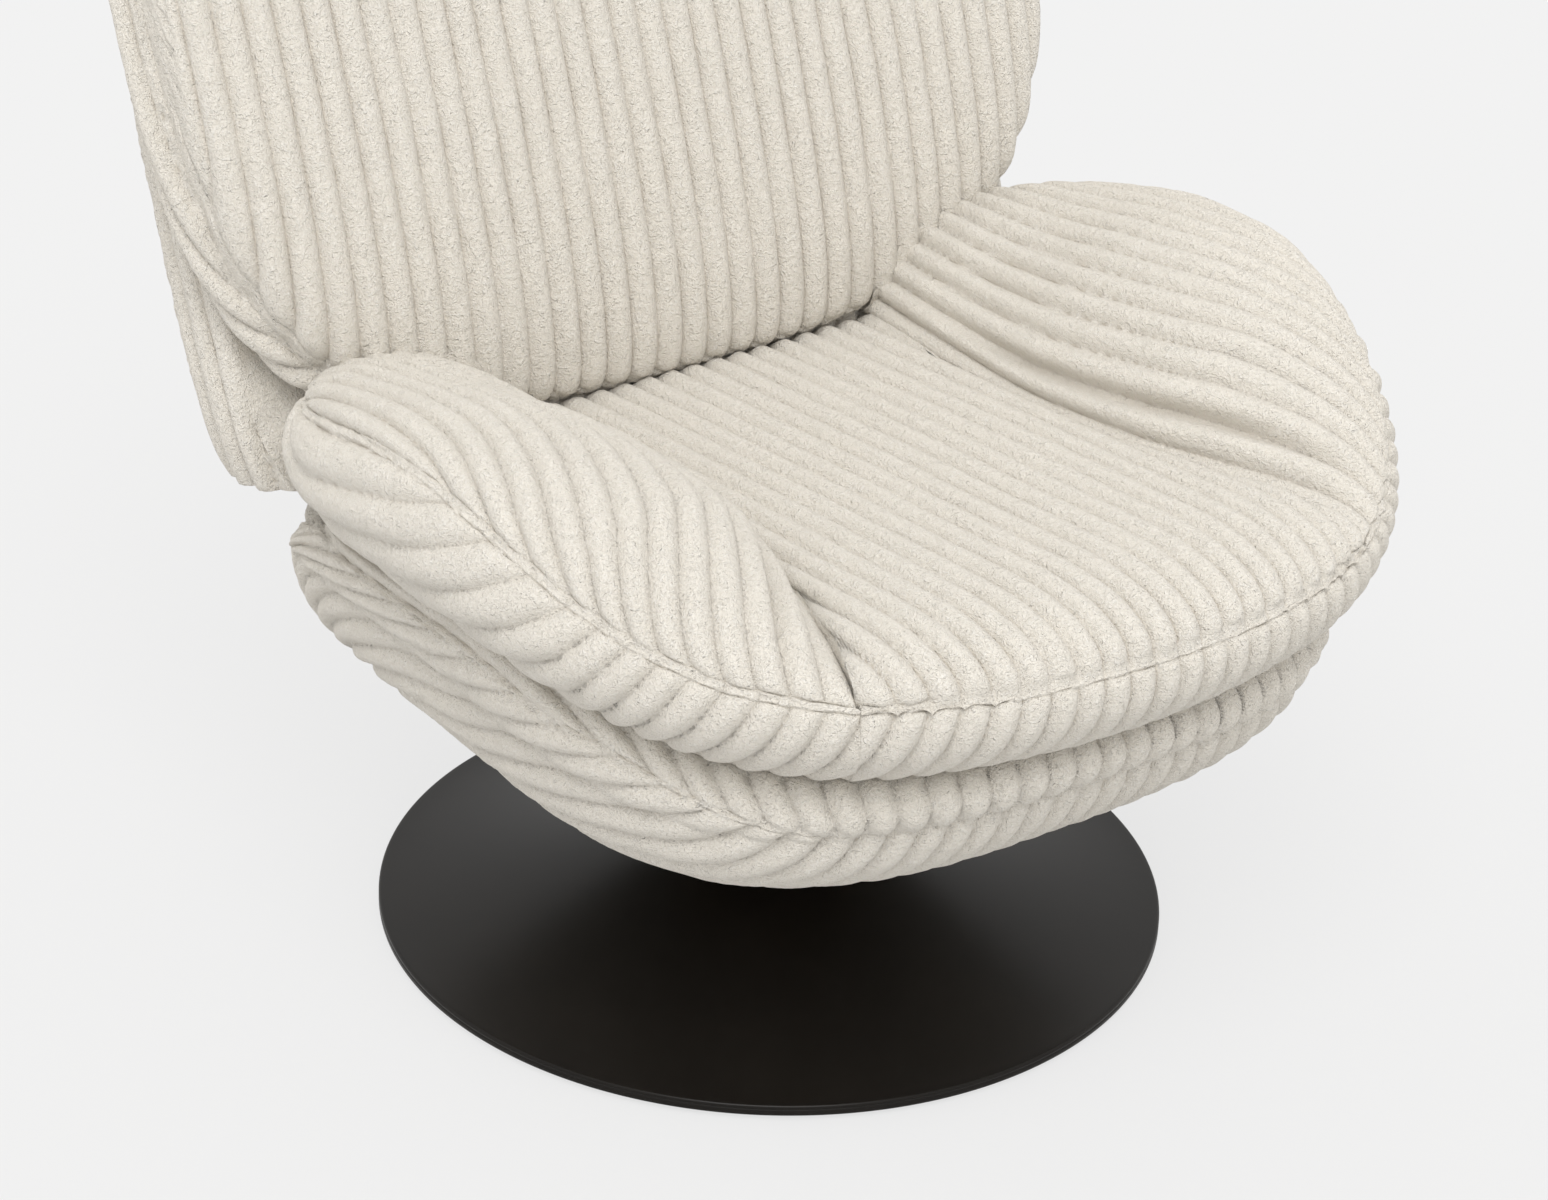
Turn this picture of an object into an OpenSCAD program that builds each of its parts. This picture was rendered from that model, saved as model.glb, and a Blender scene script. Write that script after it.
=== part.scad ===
// Accent chair: a low swivel lounge chair with a padded seat, two puffy arms,
// a reclined back and a spun round base.
// Millimetres, Z up, the front of the seat towards -Y. The origin is on the
// floor, on the axis the chair swivels about.

/* [Seat] */
// Half width of the seat over its outer seam
seat_half = 350; // [320:2:370]
// Height of the seam along the front of the seat
seam_front_z = 395; // [385:1:405]
// How far the seam climbs from the front up over the arms
arm_rise = 80; // [50:2:95]
// How far the arms swell over their own width
arm_puff = 66; // [45:1:75]
// How far the soft sides swell out past the seam
band_puff = 22; // [14:1:28]
// Width of one rib of the ribbed cover
rib_pitch = 20.3; // [16:0.1:26]
// Depth of the groove between two ribs
rib_depth = 3; // [0:0.5:4]

/* [Back] */
// Lean of the back away from upright
lean = 22; // [18:1:26]
// Half width of the back cushion over its seam
back_half = 357; // [325:2:371]
// Length of the back cushion from the foot of the back to its top
back_top = 470; // [430:5:500]

/* [Base] */
// Diameter of the round base
base_d = 560; // [480:10:620]
// Height of the spun base cover at its neck
neck_z = 84; // [60:2:100]
// Diameter of the column
column_d = 60; // [50:2:70]
// Diameter of the turning spindle
spindle_d = 30; // [24:1:36]
// Clearance between a turning shaft and its bush, on the diameter
turn_fit = 0.12; // [0.04:0.02:0.2]

/* [Frame] */
// Diameter of the bent frame tubes
tube_d = 22; // [18:1:25]
// Half width of the seat frame, to the tube centre
frame_half = 190; // [170:5:195]
// Number of webbing straps across the seat
seat_straps_n = 5; // [3:1:5]
// Number of webbing straps across the back
back_straps_n = 4; // [3:1:5]

/* [Hidden] */
$fn = 48;

cream = [0.90, 0.88, 0.83];
black = [0.10, 0.09, 0.08];
steel = [0.62, 0.63, 0.65];
ply = [0.78, 0.64, 0.45];
grey = [0.35, 0.35, 0.36];

// Gap left between two soft bodies that only rest on each other
rest_gap = 0.3;

// Outlines shared by the padded pieces
// Each outline is [half width, middle, length below the middle, roundness, length above, roundness]
seat_line = [seat_half, -70, 338, 2.3, 270, 3.3];
rim_line = [seat_half - 30, -60, 298, 2.3, 300, 6];
shell_line = [seat_half - 46, -40, 308, 3, 285, 5];
cushion_line = [back_half, 300, 360, 3.2, back_top - 300, 2.3];
back_shell_line = [back_half - 26, 160, 295, 5, back_top - 140, 2.4];

function super(c, n) = pow(max(0, 1 - pow(min(1, abs(c)), n)), 1 / n);
function spow(v, e) = sign(v) * pow(abs(v), e);
function mix(a, b, t) = a + (b - a) * t;
function unit(v) = v / norm(v);
function ease(t) = let (c = max(0, min(1, t))) c * c * (3 - 2 * c);
function low_end(l, x) = l[1] - l[2] * super(x / l[0], l[3]);
function high_end(l, x) = l[1] + l[4] * super(x / l[0], l[5]);
function on_line(l, a) =
    let (n = sin(a) < 0 ? l[3] : l[5], b = sin(a) < 0 ? l[2] : l[4])
    [l[0] * spow(cos(a), 2 / n), l[1] + b * spow(sin(a), 2 / n)];
function outward(l, a) =
    let (n = sin(a) < 0 ? l[3] : l[5], b = sin(a) < 0 ? l[2] : l[4], e = 2 - 2 / n)
    unit([spow(cos(a), e) / l[0], spow(sin(a), e) / b]);

// A closed skin over a row of rings, with a point in the middle of each end
module skin(rings) {
    n = len(rings[0]);
    last = len(rings) - 1;
    mid_first = sum_of(rings[0]) / n;
    mid_last = sum_of(rings[last]) / n;
    points = concat([for (r = rings) each r], [mid_first, mid_last]);
    sides = [for (i = [0:last - 1]) for (j = [0:n - 1]) each
        let (k = (j + 1) % n) [
            [i * n + j, (i + 1) * n + j, (i + 1) * n + k],
            [i * n + j, (i + 1) * n + k, i * n + k]]];
    ends = [for (j = [0:n - 1]) each
        let (k = (j + 1) % n) [
            [len(points) - 2, j, k],
            [len(points) - 1, last * n + k, last * n + j]]];
    polyhedron(points, concat(sides, ends));
}

// A skin over sections that run once around and meet again
module hoop_skin(rings) {
    n = len(rings[0]);
    m = len(rings);
    polyhedron([for (r = rings) each r], [for (i = [0:m - 1]) for (j = [0:n - 1]) each
        let (k = (j + 1) % n, next = (i + 1) % m) [
            [i * n + j, next * n + j, next * n + k],
            [i * n + j, next * n + k, i * n + k]]]);
}

function sum_of(v, i = 0) = i == len(v) - 1 ? v[i] : v[i] + sum_of(v, i + 1);

module rod(p, q, d) {
    v = q - p;
    translate(p)
        rotate([0, acos(v[2] / norm(v)), atan2(v[1], v[0])])
            cylinder(h = norm(v), d = d);
}

module ring(r, r_in, z, h) {
    translate([0, 0, z])
        difference() {
            cylinder(h = h, r = r);
            translate([0, 0, -1])
                cylinder(h = h + 2, r = r_in);
        }
}

// Places its children n times around the swivel axis, r away from it
module around(n, r, turn = 0) {
    for (i = [0:n - 1])
        rotate([0, 0, turn + i * 360 / n])
            translate([r, 0, 0])
                children();
}

// A bent tube around a rounded rectangle in the XY plane, w and h to its centre line
module tube_loop(w, h, r, d) {
    for (s = [-1, 1]) {
        translate([s * w, 0, 0])
            rotate([90, 0, 0])
                cylinder(h = 2 * (h - r), d = d, center = true);
        translate([0, s * h, 0])
            rotate([0, 90, 0])
                cylinder(h = 2 * (w - r), d = d, center = true);
        for (t = [-1, 1])
            translate([s * (w - r), t * (h - r), 0])
                rotate([0, 0, s > 0 ? (t > 0 ? 0 : 270) : (t > 0 ? 90 : 180)])
                    rotate_extrude(angle = 90)
                        translate([r, 0])
                            circle(d = d);
    }
}

// A clip hugging a tube that runs along Y at the origin, with a tab towards +X under a strap
module strap_clip(l) {
    rotate([90, 0, 0])
        linear_extrude(l, center = true)
            difference() {
                union() {
                    circle(d = tube_d + 2 * clip_t);
                    translate([0, tube_d / 2 - clip_t])
                        square([tube_d / 2 + 22, clip_t]);
                }
                circle(d = tube_d);
                translate([-tube_d, -tube_d])
                    square([2 * tube_d, tube_d]);
                translate([-tube_d, -1])
                    square([tube_d, tube_d + 2]);
            }
}

// Base
pad_h = 3;
plate_t = 6;
plate_top = pad_h + plate_t;
cover_t = 3;
rim_z = plate_top + cover_t;
column_top = 140;
column_r = column_d / 2;
bore_r = column_r - 3;
flange_t = 6;
screw_ring = 48;

function cover_z(r) = rim_z + (neck_z - rim_z) * pow((base_d / 2 - r) / (base_d / 2 - column_r), 1.5);

module base_cover() {
    rim = base_d / 2;
    neck = column_r + 0.5;
    steps = 16;
    slope = [for (i = [0:steps]) let (r = mix(rim - 2, neck, i / steps)) [r, cover_z(r)]];
    under = [for (i = [0:steps]) let (r = mix(neck, rim - 3, i / steps)) [r, cover_z(r) - cover_t + 0.1]];
    color(black)
        rotate_extrude($fn = 96)
            polygon(concat([[rim, 4], [rim, rim_z - 1.6], [rim - 0.6, rim_z - 0.5]], slope, under,
                [[rim - 3, 4]]));
}

module base_plate() {
    color(black)
        difference() {
            translate([0, 0, pad_h])
                cylinder(h = plate_t, r = base_d / 2 - 3.4, $fn = 96);
            around(4, screw_ring)
                translate([0, 0, pad_h - 1])
                    cylinder(h = plate_t + 2, r = 4.1);
        }
}

module floor_pad() {
    color(grey)
        cylinder(h = pad_h, r = base_d / 2 - 8, $fn = 96);
}

module column_flange() {
    color(steel)
        difference() {
            ring(column_r + 35, column_r + 0.1, plate_top, flange_t);
            around(4, screw_ring)
                translate([0, 0, plate_top - 1])
                    cylinder(h = flange_t + 2, r = 4.2);
        }
}

module flange_screws() {
    color(steel)
        around(4, screw_ring) {
            translate([0, 0, pad_h + 0.5])
                cylinder(h = plate_t + flange_t - 0.5, r = 4);
            translate([0, 0, plate_top + flange_t])
                cylinder(h = 5, r = 6.5);
        }
}

module column_tube() {
    color(black)
        ring(column_r, bore_r, plate_top, column_top - plate_top);
}

module bush(z, h) {
    color(grey)
        ring(bore_r, (spindle_d + turn_fit) / 2, z, h);
}

lower_bush_z = 22;

module lower_bush() {
    bush(lower_bush_z, 28);
}

module upper_bush() {
    bush(column_top - 34, 34);
}

washer_t = 3;

module thrust_washer() {
    color(steel)
        ring(column_r - 1, (spindle_d + turn_fit) / 2, column_top, washer_t);
}

// Swivel head
collar_t = 3;
head_z = column_top + washer_t + collar_t;
head_t = 6;
head_r = 85;
bolt_ring = 60;
clip_ring_t = 2.4;

module spindle() {
    r = spindle_d / 2;
    color(steel)
        difference() {
            union() {
                translate([0, 0, plate_top + 4])
                    cylinder(h = head_z + head_t - plate_top - 4, r = r);
                translate([0, 0, head_z - collar_t])
                    cylinder(h = collar_t, r = column_r - 2);
            }
            ring(r + 1, r - 1.5, lower_bush_z - clip_ring_t - 0.3, clip_ring_t);
        }
}

module retaining_ring() {
    color(steel)
        ring(spindle_d / 2 + 4, spindle_d / 2 - 1.4, lower_bush_z - clip_ring_t - 0.25, clip_ring_t - 0.1);
}

module swivel_plate() {
    color(black)
        difference() {
            ring(head_r, spindle_d / 2 + 0.1, head_z, head_t);
            around(4, bolt_ring, 45)
                translate([0, 0, head_z - 1])
                    cylinder(h = head_t + 2, r = 4.3);
        }
}

board_z = 185;
board_t = 15;
board_r = 130;
board_top = board_z + board_t;
washer_z = head_z - 1.6;

module plate_bolts() {
    color(steel)
        around(4, bolt_ring, 45) {
            translate([0, 0, washer_z])
                cylinder(h = board_top + 5 - washer_z, r = 4);
            translate([0, 0, washer_z - 5.3])
                cylinder(h = 5.3, r = 6.5);
        }
}

module plate_washers() {
    color(steel)
        around(4, bolt_ring, 45)
            ring(9, 4.3, washer_z, head_z - washer_z);
}

module tee_nuts() {
    color(steel)
        around(4, bolt_ring, 45) {
            ring(5, 4.1, board_top - 10, 10);
            ring(11, 4.1, board_top, 1.5);
        }
}

module hub_spacer() {
    color(ply)
        difference() {
            translate([0, 0, head_z + head_t])
                cylinder(h = board_z - head_z - head_t, r = 95);
            around(4, bolt_ring, 45)
                translate([0, 0, head_z])
                    cylinder(h = board_z - head_z, r = 4.5);
        }
}

module seat_board() {
    color(ply)
        difference() {
            translate([0, 0, board_z])
                cylinder(h = board_t, r = board_r);
            around(4, bolt_ring, 45) {
                translate([0, 0, board_z - 1])
                    cylinder(h = board_t + 2, r = 4.5);
                translate([0, 0, board_top - 10.2])
                    cylinder(h = 11, r = 5.1);
            }
            for (f = foot_spots)
                for (s = [-1, 1])
                    translate([f[0], f[1] + s * 16, board_z - 1])
                        cylinder(h = board_t + 2, r = 2.6);
        }
}

// Seat frame
rail_z = 302;
frame_front = -245;
frame_rear = 115;
frame_mid = (frame_front + frame_rear) / 2;
frame_bend = 45;
foot_t = 4;
foot_spots = [for (x = [-95, 95]) for (y = [-62, 62]) [x, y]];

module frame_feet() {
    color(steel)
        for (f = foot_spots)
            translate([f[0], f[1], board_top])
                difference() {
                    translate([-15, -25, 0])
                        cube([30, 50, foot_t]);
                    for (s = [-1, 1])
                        translate([0, s * 16, -1])
                            cylinder(h = foot_t + 2, r = 2.8);
                }
}

module foot_screws() {
    color(steel)
        for (f = foot_spots)
            for (s = [-1, 1])
                translate([f[0], f[1] + s * 16, board_top]) {
                    translate([0, 0, 1 - board_t])
                        cylinder(h = board_t + foot_t - 1, r = 2.5);
                    translate([0, 0, foot_t])
                        cylinder(h = 3, r = 4);
                }
}

// The loop stands on four legs. Each is a slanted rod with an upright end at its foot and another
// under the side rail, and a weld bead a little wider than the rod at each bend
module seat_frame() {
    leg_d = 14;
    bead_d = leg_d + 3;
    bend = 14;
    top_z = rail_z - 26;
    color(steel) {
        translate([0, frame_mid, rail_z])
            tube_loop(frame_half, (frame_rear - frame_front) / 2, frame_bend, tube_d);
        for (f = foot_spots) {
            low = [f[0], f[1], board_top + foot_t + bend];
            high = [sign(f[0]) * frame_half, f[1] * 1.4 + frame_mid * 0.5, top_z];
            translate([f[0], f[1], board_top + foot_t])
                cylinder(h = bend, d = leg_d);
            translate(low)
                sphere(d = bead_d);
            rod(low, high, leg_d);
            translate(high) {
                sphere(d = bead_d);
                cylinder(h = rail_z - top_z - 3, d = leg_d);
            }
        }
    }
}

// Webbing
clip_t = 2;
strap_t = 2;
strap_w = 44;
felt_t = 3;
seat_strap_z = rail_z + tube_d / 2;
strap_gap = 2 * (frame_half - frame_bend) / seat_straps_n;

module seat_clips() {
    color(steel)
        for (i = [0:seat_straps_n - 1])
            translate([(i - (seat_straps_n - 1) / 2) * strap_gap, 0, rail_z]) {
                translate([0, frame_front, 0])
                    rotate([0, 0, 90])
                        strap_clip(strap_w);
                translate([0, frame_rear, 0])
                    rotate([0, 0, -90])
                        strap_clip(strap_w);
            }
}

module seat_straps() {
    reach = tube_d / 2 + clip_t + 1;
    color(grey)
        for (i = [0:seat_straps_n - 1])
            translate([(i - (seat_straps_n - 1) / 2) * strap_gap, frame_front + reach, seat_strap_z])
                translate([-strap_w / 2, 0, 0])
                    cube([strap_w, frame_rear - frame_front - 2 * reach, strap_t]);
}

// Width left free between the seat's felt and the frame's centre line
seat_felt_edge = 40;

module seat_felt() {
    color(grey)
        translate([seat_felt_edge - frame_half, frame_front + 5, seat_strap_z + strap_t])
            cube([2 * (frame_half - seat_felt_edge), frame_rear - frame_front - 15, felt_t]);
}

// Seat cushions
cushion_z = seat_strap_z + strap_t + felt_t;
rear_seat_z = seam_front_z - 17;
seat_crown = 24;
peak_y = -80;
crease_rear = [160, 118];
crease_front = [206, -360];
// The same crease at the underside, where it meets the fold over the shell
crease_front_low = [179, -321];
// The arms bulge this far in over the seat in the middle
crease_bow = 36;
seat_end = 146;

function swell(y, run) = (1 + cos(180 * min(1, abs(y - peak_y) / (y < peak_y ? 300 : run)))) / 2;
function seam_z(y) = seam_front_z + arm_rise * swell(y, 380);
function fold_z(y) = cushion_z + 44 * swell(y, 500);
function tuck(y) = 50 - 19 * swell(y, 380);
function crease_share(y) = (crease_rear[1] - y) / (crease_rear[1] - crease_front[1]);
function crease_line_x(y) = mix(crease_rear[0], crease_front[0], crease_share(y));
function bow(y) = crease_bow * sin(180 * pow(max(0, min(1, crease_share(y))), 1.15));
function crease_low(t) = concat(mix(crease_rear, crease_front_low, t), [cushion_z]);
function crease_t(x) = (x - crease_rear[0]) / (crease_front[0] - crease_rear[0]);
function crease_y(x) = mix(crease_rear[1], crease_front[1], crease_t(x));
function seat_z(x, y) =
    let (front = low_end(seat_line, x), nose = low_end(seat_line, 0),
        back = (y - nose) / (crease_rear[1] - nose),
        rise = super(1 - min(1, (y - front) / 110), 2.2) * super(x / (crease_line_x(y) + 4), 5))
    seam_z(front) + (rear_seat_z - seam_front_z) * min(1, back)
    + seat_crown * rise * pow(max(0, 1 - back), 0.7)
    - max(0, y - crease_rear[1]) * 0.8;

// Point on the side of the seat, from the fold over the shell (s = 0) up to the seam (s = 1)
function side_point(a, s, inset) =
    let (p = on_line(seat_line, a), o = outward(seat_line, a), y = p[1],
        puff = band_puff * pow(max(0, sin(180 * s)), 0.8) * (1 + 0.5 * swell(y, 380)),
        out = puff - tuck(y) * (1 - s) - inset)
    [p[0] + o[0] * out, p[1] + o[1] * out, mix(fold_z(y), seam_z(y), s)];

function line_angle(l, x) = -acos(spow(min(1, abs(x) / l[0]), l[3] / 2));
function mirror_if(flip, p) = flip ? [-p[0], p[1], p[2]] : p;

function seat_ring(x, inset) =
    let (a = line_angle(seat_line, x), flip = x < 0, front = low_end(seat_line, x),
        end = abs(x) > crease_rear[0] ? max(crease_y(abs(x)), front + 10) : seat_end)
    concat(
        [for (s = [0, 0.15, 0.4, 0.65, 0.88]) mirror_if(flip, side_point(a, s, s == 0 ? 0 : inset))],
        [for (i = [0:9])
            let (y = mix(front, end, pow(i / 9, 1.3)))
                [x - sign(x) * bow(y) * pow(min(1, abs(x) / crease_line_x(y)), 4),
                    y + (i == 0 ? inset : 0), seat_z(x, y) - inset]],
        [abs(x) > crease_rear[0]
            ? mirror_if(flip, crease_low(crease_t(abs(x))))
            : [x, seat_end - 6, cushion_z]]);

module seat_body(groove) {
    n = 2 * floor((crease_front[0] - 1) / rib_pitch) + 1;
    half_rib = (crease_front[0] - 1) / n;
    skin([for (k = [2 * n:-1:0]) seat_ring((k - n) * half_rib, k % 2 == 0 ? groove : 0)]);
}

module seat_cushion() {
    color(cream)
        difference() {
            seat_body(rib_depth);
            back_cushion_room();
        }
}

// At its foot the arm stays clear of the seat, and higher up it is cut along the seat's own side
crease_gap = 2.9;
crease_sink = 3;
arm_first = line_angle(seat_line, crease_front[0]) + 0.4;
arm_last = 36;

function arm_ring(a) =
    let (b2 = on_line(seat_line, a), t = min(1, (a - arm_first) / (arm_last - arm_first)),
        ay = mix(crease_front[1], crease_rear[1], t) + max(0, a - arm_last) * 1.2,
        cy = min(ay, crease_rear[1]),
        ca = [crease_line_x(cy) - bow(cy) - crease_sink, ay, mix(seam_front_z, rear_seat_z, t) - 4],
        b = [b2[0], b2[1], seam_z(b2[1])], along = b - ca, wide = norm([along[0], along[1]]),
        n = unit([-along[0] * along[2] / wide, -along[1] * along[2] / wide, wide]),
        puff = arm_puff * min(1, norm(along) / 186) * (1 - 0.28 * ease((t - 0.3) / 0.5)))
    concat(
        [crease_low(1 - t) + [crease_gap, 0, 0], ca],
        [for (i = [1:19]) let (v = (1 - cos(9 * i)) / 2)
            mix(ca, b, v) + n * (puff * sqrt(sin(180 * v)) - i % 2 * rib_depth * min(1, puff / 30))],
        [for (s = [1, 0.85, 0.62, 0.38, 0.15, 0]) side_point(a, s, 0)]);

// The right arm (side 1), or its mirror image, the left one (side -1).
// Fourteen rings follow the crease and four more end the arm behind the back cushion
module arm_cushion(side) {
    angles = [for (i = [0:17]) i < 14 ? mix(arm_first, arm_last, i / 13) : arm_last + (i - 13) * 5.5];
    color(cream)
        difference() {
            mirror([side < 0 ? 1 : 0, 0, 0])
                skin([for (a = angles) arm_ring(a)]);
            back_cushion_room();
            back_space();
            translate([side * crease_gap / 2, 0, rest_gap])
                seat_body(0);
        }
}

module arm_cushion_right() {
    arm_cushion(1);
}

module arm_cushion_left() {
    arm_cushion(-1);
}

// Seat shell
shell_floor = head_z + head_t + 5;
shell_wall = 34;

function shell_seam_z(y) =
    y < 0 ? 277 + 11.5 * (1 + cos(180 * min(1, -y / 350))) : 300 - 42 * pow(min(1, y / 235), 4);
function shell_under(a, q) =
    let (g = on_line(shell_line, a), m = 2 + 0.15 * sin(a))
    [mix(98 * cos(a), g[0], q), mix(98 * sin(a), g[1], q),
        mix(shell_floor, shell_seam_z(g[1]), 1 - pow(1 - pow(q, m), 1 / m))];
function shell_inner(a, q, z) =
    let (g = on_line(shell_line, a) - outward(shell_line, a) * shell_wall)
    [mix(98 * cos(a), g[0], q), mix(98 * sin(a), g[1], q), z];

// Upper edge of the shell: under the cushions' fold, and along the squarer line of the rim at the rear
function rim_point(a) =
    let (e = on_line(rim_line, a), t = max(0, min(1, (sin(a) - 0.45) / 0.4)))
    mix(side_point(a, 0, 0), [e[0], e[1], fold_z(e[1])], t) - [0, 0, 3 * rest_gap];

function shell_section(a) =
    let (top = rim_point(a), o = outward(rim_line, a), out = [o[0], o[1], 0],
        g2 = on_line(shell_line, a), g = [g2[0], g2[1], shell_seam_z(g2[1])])
    concat(
        [top, mix(top, g, 0.3) + out * 14, mix(top, g, 0.7) + out * 14],
        [for (q = [1, 0.96, 0.88, 0.76, 0.62, 0.45, 0]) shell_under(a, q)],
        [shell_inner(a, 0, board_z - rest_gap), shell_inner(a, 0.55, board_z - rest_gap),
            shell_inner(a, 0.85, mix(board_z, g[2], 0.5)), shell_inner(a, 1, g[2]),
            top - out * 36 - [0, 0, 14]]);

shell_n = 48;

module seat_shell() {
    color(cream)
        hoop_skin([for (i = [0:shell_n - 1]) shell_section(i * 360 / shell_n)]);
}

// The outside of the seat shell as one full body, which the back shell closes against.
// It is mirrored so that its facets fold along the same lines as those of the shell
module seat_shell_room() {
    mirror([1, 0, 0])
        skin([for (j = [0:6]) [for (i = [0:shell_n - 1])
            let (a = -i * 360 / shell_n, o = outward(rim_line, a))
                shell_section(a)[j] + [o[0], o[1], j == 0 ? 1 : 0] * rest_gap]]);
}

// Back, drawn upright in its own frame and then leaned
back_foot = [0, 165, 420];
back_plane = 19;
back_low = -122;

module leaned() {
    translate(back_foot)
        rotate([-lean, 0, 0])
            children();
}

// The room kept for the back shell behind the seat
module back_space() {
    leaned()
        translate([-500, back_plane, back_low])
            cube([1000, 400, 800]);
}

// Back cushion: rings across the width, local Y is depth and the front is towards -Y
function cushion_ring(x, inset, grow, slim) =
    let (lo = low_end(cushion_line, x) + slim - grow, hi = high_end(cushion_line, x) - slim + grow,
        d = super(x / (cushion_line[0] + 6), 4.5), rear = back_plane - rest_gap + grow - slim)
    concat(
        [for (i = [0:8]) let (c = -cos(22.5 * i), w = mix(lo, hi, (c + 1) / 2))
            [x, -22 * d - 45 * d * super(c, 2.6) + inset - grow + slim, w]],
        [[x, 0, hi + 10 - inset], [x, rear, hi - 2], [x, rear, (lo + hi) / 2], [x, rear, lo + 2]],
        [[x, 0, lo - 8 + inset]]);

back_ribs = 2 * floor(0.955 * back_half / rib_pitch) + 1;

// Ring k of the back cushion: even rings lie in a groove, odd ones on a rib, and one more closes each end
function cushion_ring_at(k, inset, grow) =
    let (end = k < 0 || k > 2 * back_ribs, reach = cushion_line[0] - 11 + grow,
        x = max(-1, min(1, k / back_ribs - 1)) * reach + (end ? 8 * sign(k) : 0))
    cushion_ring(x, inset, grow, end ? 12 : 0);

module back_cushion() {
    color(cream)
        leaned()
            skin([for (k = [2 * back_ribs + 1:-1:-1]) cushion_ring_at(k, k % 2 == 0 ? rib_depth : 0, 0)]);
}

// The room the back cushion needs, without its grooves
module back_cushion_room() {
    leaned()
        skin([for (k = [2 * back_ribs + 1:-2:-1]) cushion_ring_at(k, 0, 3 * rest_gap)]);
}

// Share of the back shell's outline at which the inside of its wall stands
shell_wall_in = 0.86;

function back_ring(q, y) =
    [for (i = [0:55]) let (p = on_line(back_shell_line, -i * 360 / 56))
        [p[0] * q, y, mix(back_shell_line[1], p[1], q)]];

module back_shell() {
    front = back_plane + 1;
    color(cream)
        difference() {
            leaned()
                skin([for (r = [[0.35, front + 53], [0.7, front + 53], [shell_wall_in - 0.01, front + 48],
                    [shell_wall_in, front + 3], [0.93, front], [0.98, front + 3], [1, front + 22],
                    [1, front + 42], [0.985, front + 58], [0.93, front + 73], [0.8, front + 85],
                    [0.6, front + 93], [0.35, front + 99]])
                    back_ring(r[0], r[1])]);
            seat_shell_room();
            leaned()
                for (s = [-1, 1])
                    translate([s * leg_x - leg_slot / 2, front - 5, -130])
                        cube([leg_slot, hoop_y + leg_slot / 2 - front + 5, 65]);
        }
}

// Back frame: a hoop behind the straps, with two legs that go down through slots in the back shell
back_strap_y = back_plane + 1 + felt_t;
hoop_y = back_strap_y + strap_t + tube_d / 2;
// Room between the hoop's centre line and the inside of the back shell's wall
hoop_room = 62;
hoop_half = shell_wall_in * back_shell_line[0] - hoop_room;
hoop_low = -60;
hoop_high = 365;
hoop_bend = 60;
leg_x = frame_half - frame_bend;
leg_low = -152;
leg_slot = tube_d + 6;

module back_frame() {
    color(steel)
        leaned()
            difference() {
                union() {
                    translate([0, hoop_y, (hoop_low + hoop_high) / 2])
                        rotate([90, 0, 0])
                            tube_loop(hoop_half, (hoop_high - hoop_low) / 2, hoop_bend, tube_d);
                    for (s = [-1, 1])
                        translate([s * leg_x, hoop_y, leg_low])
                            cylinder(h = hoop_low - leg_low, d = tube_d);
                }
                bolt_line(4.2, 80);
            }
}

bolt_spots = [-128, -144];

// Straight holes or shanks through both legs, in the back's own frame
module bolt_line(r, l) {
    for (s = [-1, 1])
        for (w = bolt_spots)
            translate([s * leg_x, hoop_y, w])
                rotate([0, 90, 0])
                    cylinder(h = l, r = r, center = true);
}

bracket_t = 5;
bracket_in = leg_x - tube_d / 2 - bracket_t;
bracket_outline = [[112, 284], [122, 306], [136, 298], [162, 286], [156, 258], [128, 254]];

module back_brackets() {
    color(steel)
        difference() {
            for (s = [-1, 1])
                translate([s * (bracket_in + bracket_t / 2), 0, 0])
                    rotate([90, 0, 90])
                        linear_extrude(bracket_t, center = true)
                            polygon(bracket_outline);
            translate([0, frame_rear, rail_z])
                rotate([0, 90, 0])
                    cylinder(h = 400, d = tube_d, center = true);
            leaned()
                bolt_line(4.2, 80);
        }
}

module bracket_bolts() {
    color(steel)
        leaned()
            for (s = [-1, 1])
                for (w = bolt_spots)
                    translate([s * bracket_in, hoop_y, w])
                        rotate([0, s * 90, 0]) {
                            translate([0, 0, -5])
                                cylinder(h = 5, r = 6.5);
                            cylinder(h = bracket_t + tube_d + 9, r = 4);
                        }
}

module bracket_nuts() {
    color(steel)
        leaned()
            for (s = [-1, 1])
                for (w = bolt_spots)
                    translate([s * (leg_x + tube_d / 2), hoop_y, w])
                        rotate([0, s * 90, 0])
                            ring(6.5, 4.1, 0, 6.5);
}

back_strap_gap = 75;
strap_low = 53;

module back_clips() {
    color(steel)
        leaned()
            for (i = [0:back_straps_n - 1])
                for (s = [0, 1])
                    mirror([s, 0, 0])
                        translate([-hoop_half, hoop_y, strap_low + i * back_strap_gap])
                            rotate([90, 0, 0])
                                strap_clip(strap_w);
}

module back_straps() {
    reach = tube_d / 2 + clip_t + 1;
    color(grey)
        leaned()
            for (i = [0:back_straps_n - 1])
                translate([reach - hoop_half, back_strap_y, strap_low + i * back_strap_gap - strap_w / 2])
                    cube([2 * (hoop_half - reach), strap_t, strap_w]);
}

// Width left free between the felt and the hoop's centre line
felt_edge = 20;

module back_felt() {
    color(grey)
        leaned()
            translate([felt_edge - hoop_half, back_plane + 1, 25])
                cube([2 * (hoop_half - felt_edge), felt_t, 300]);
}

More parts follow.
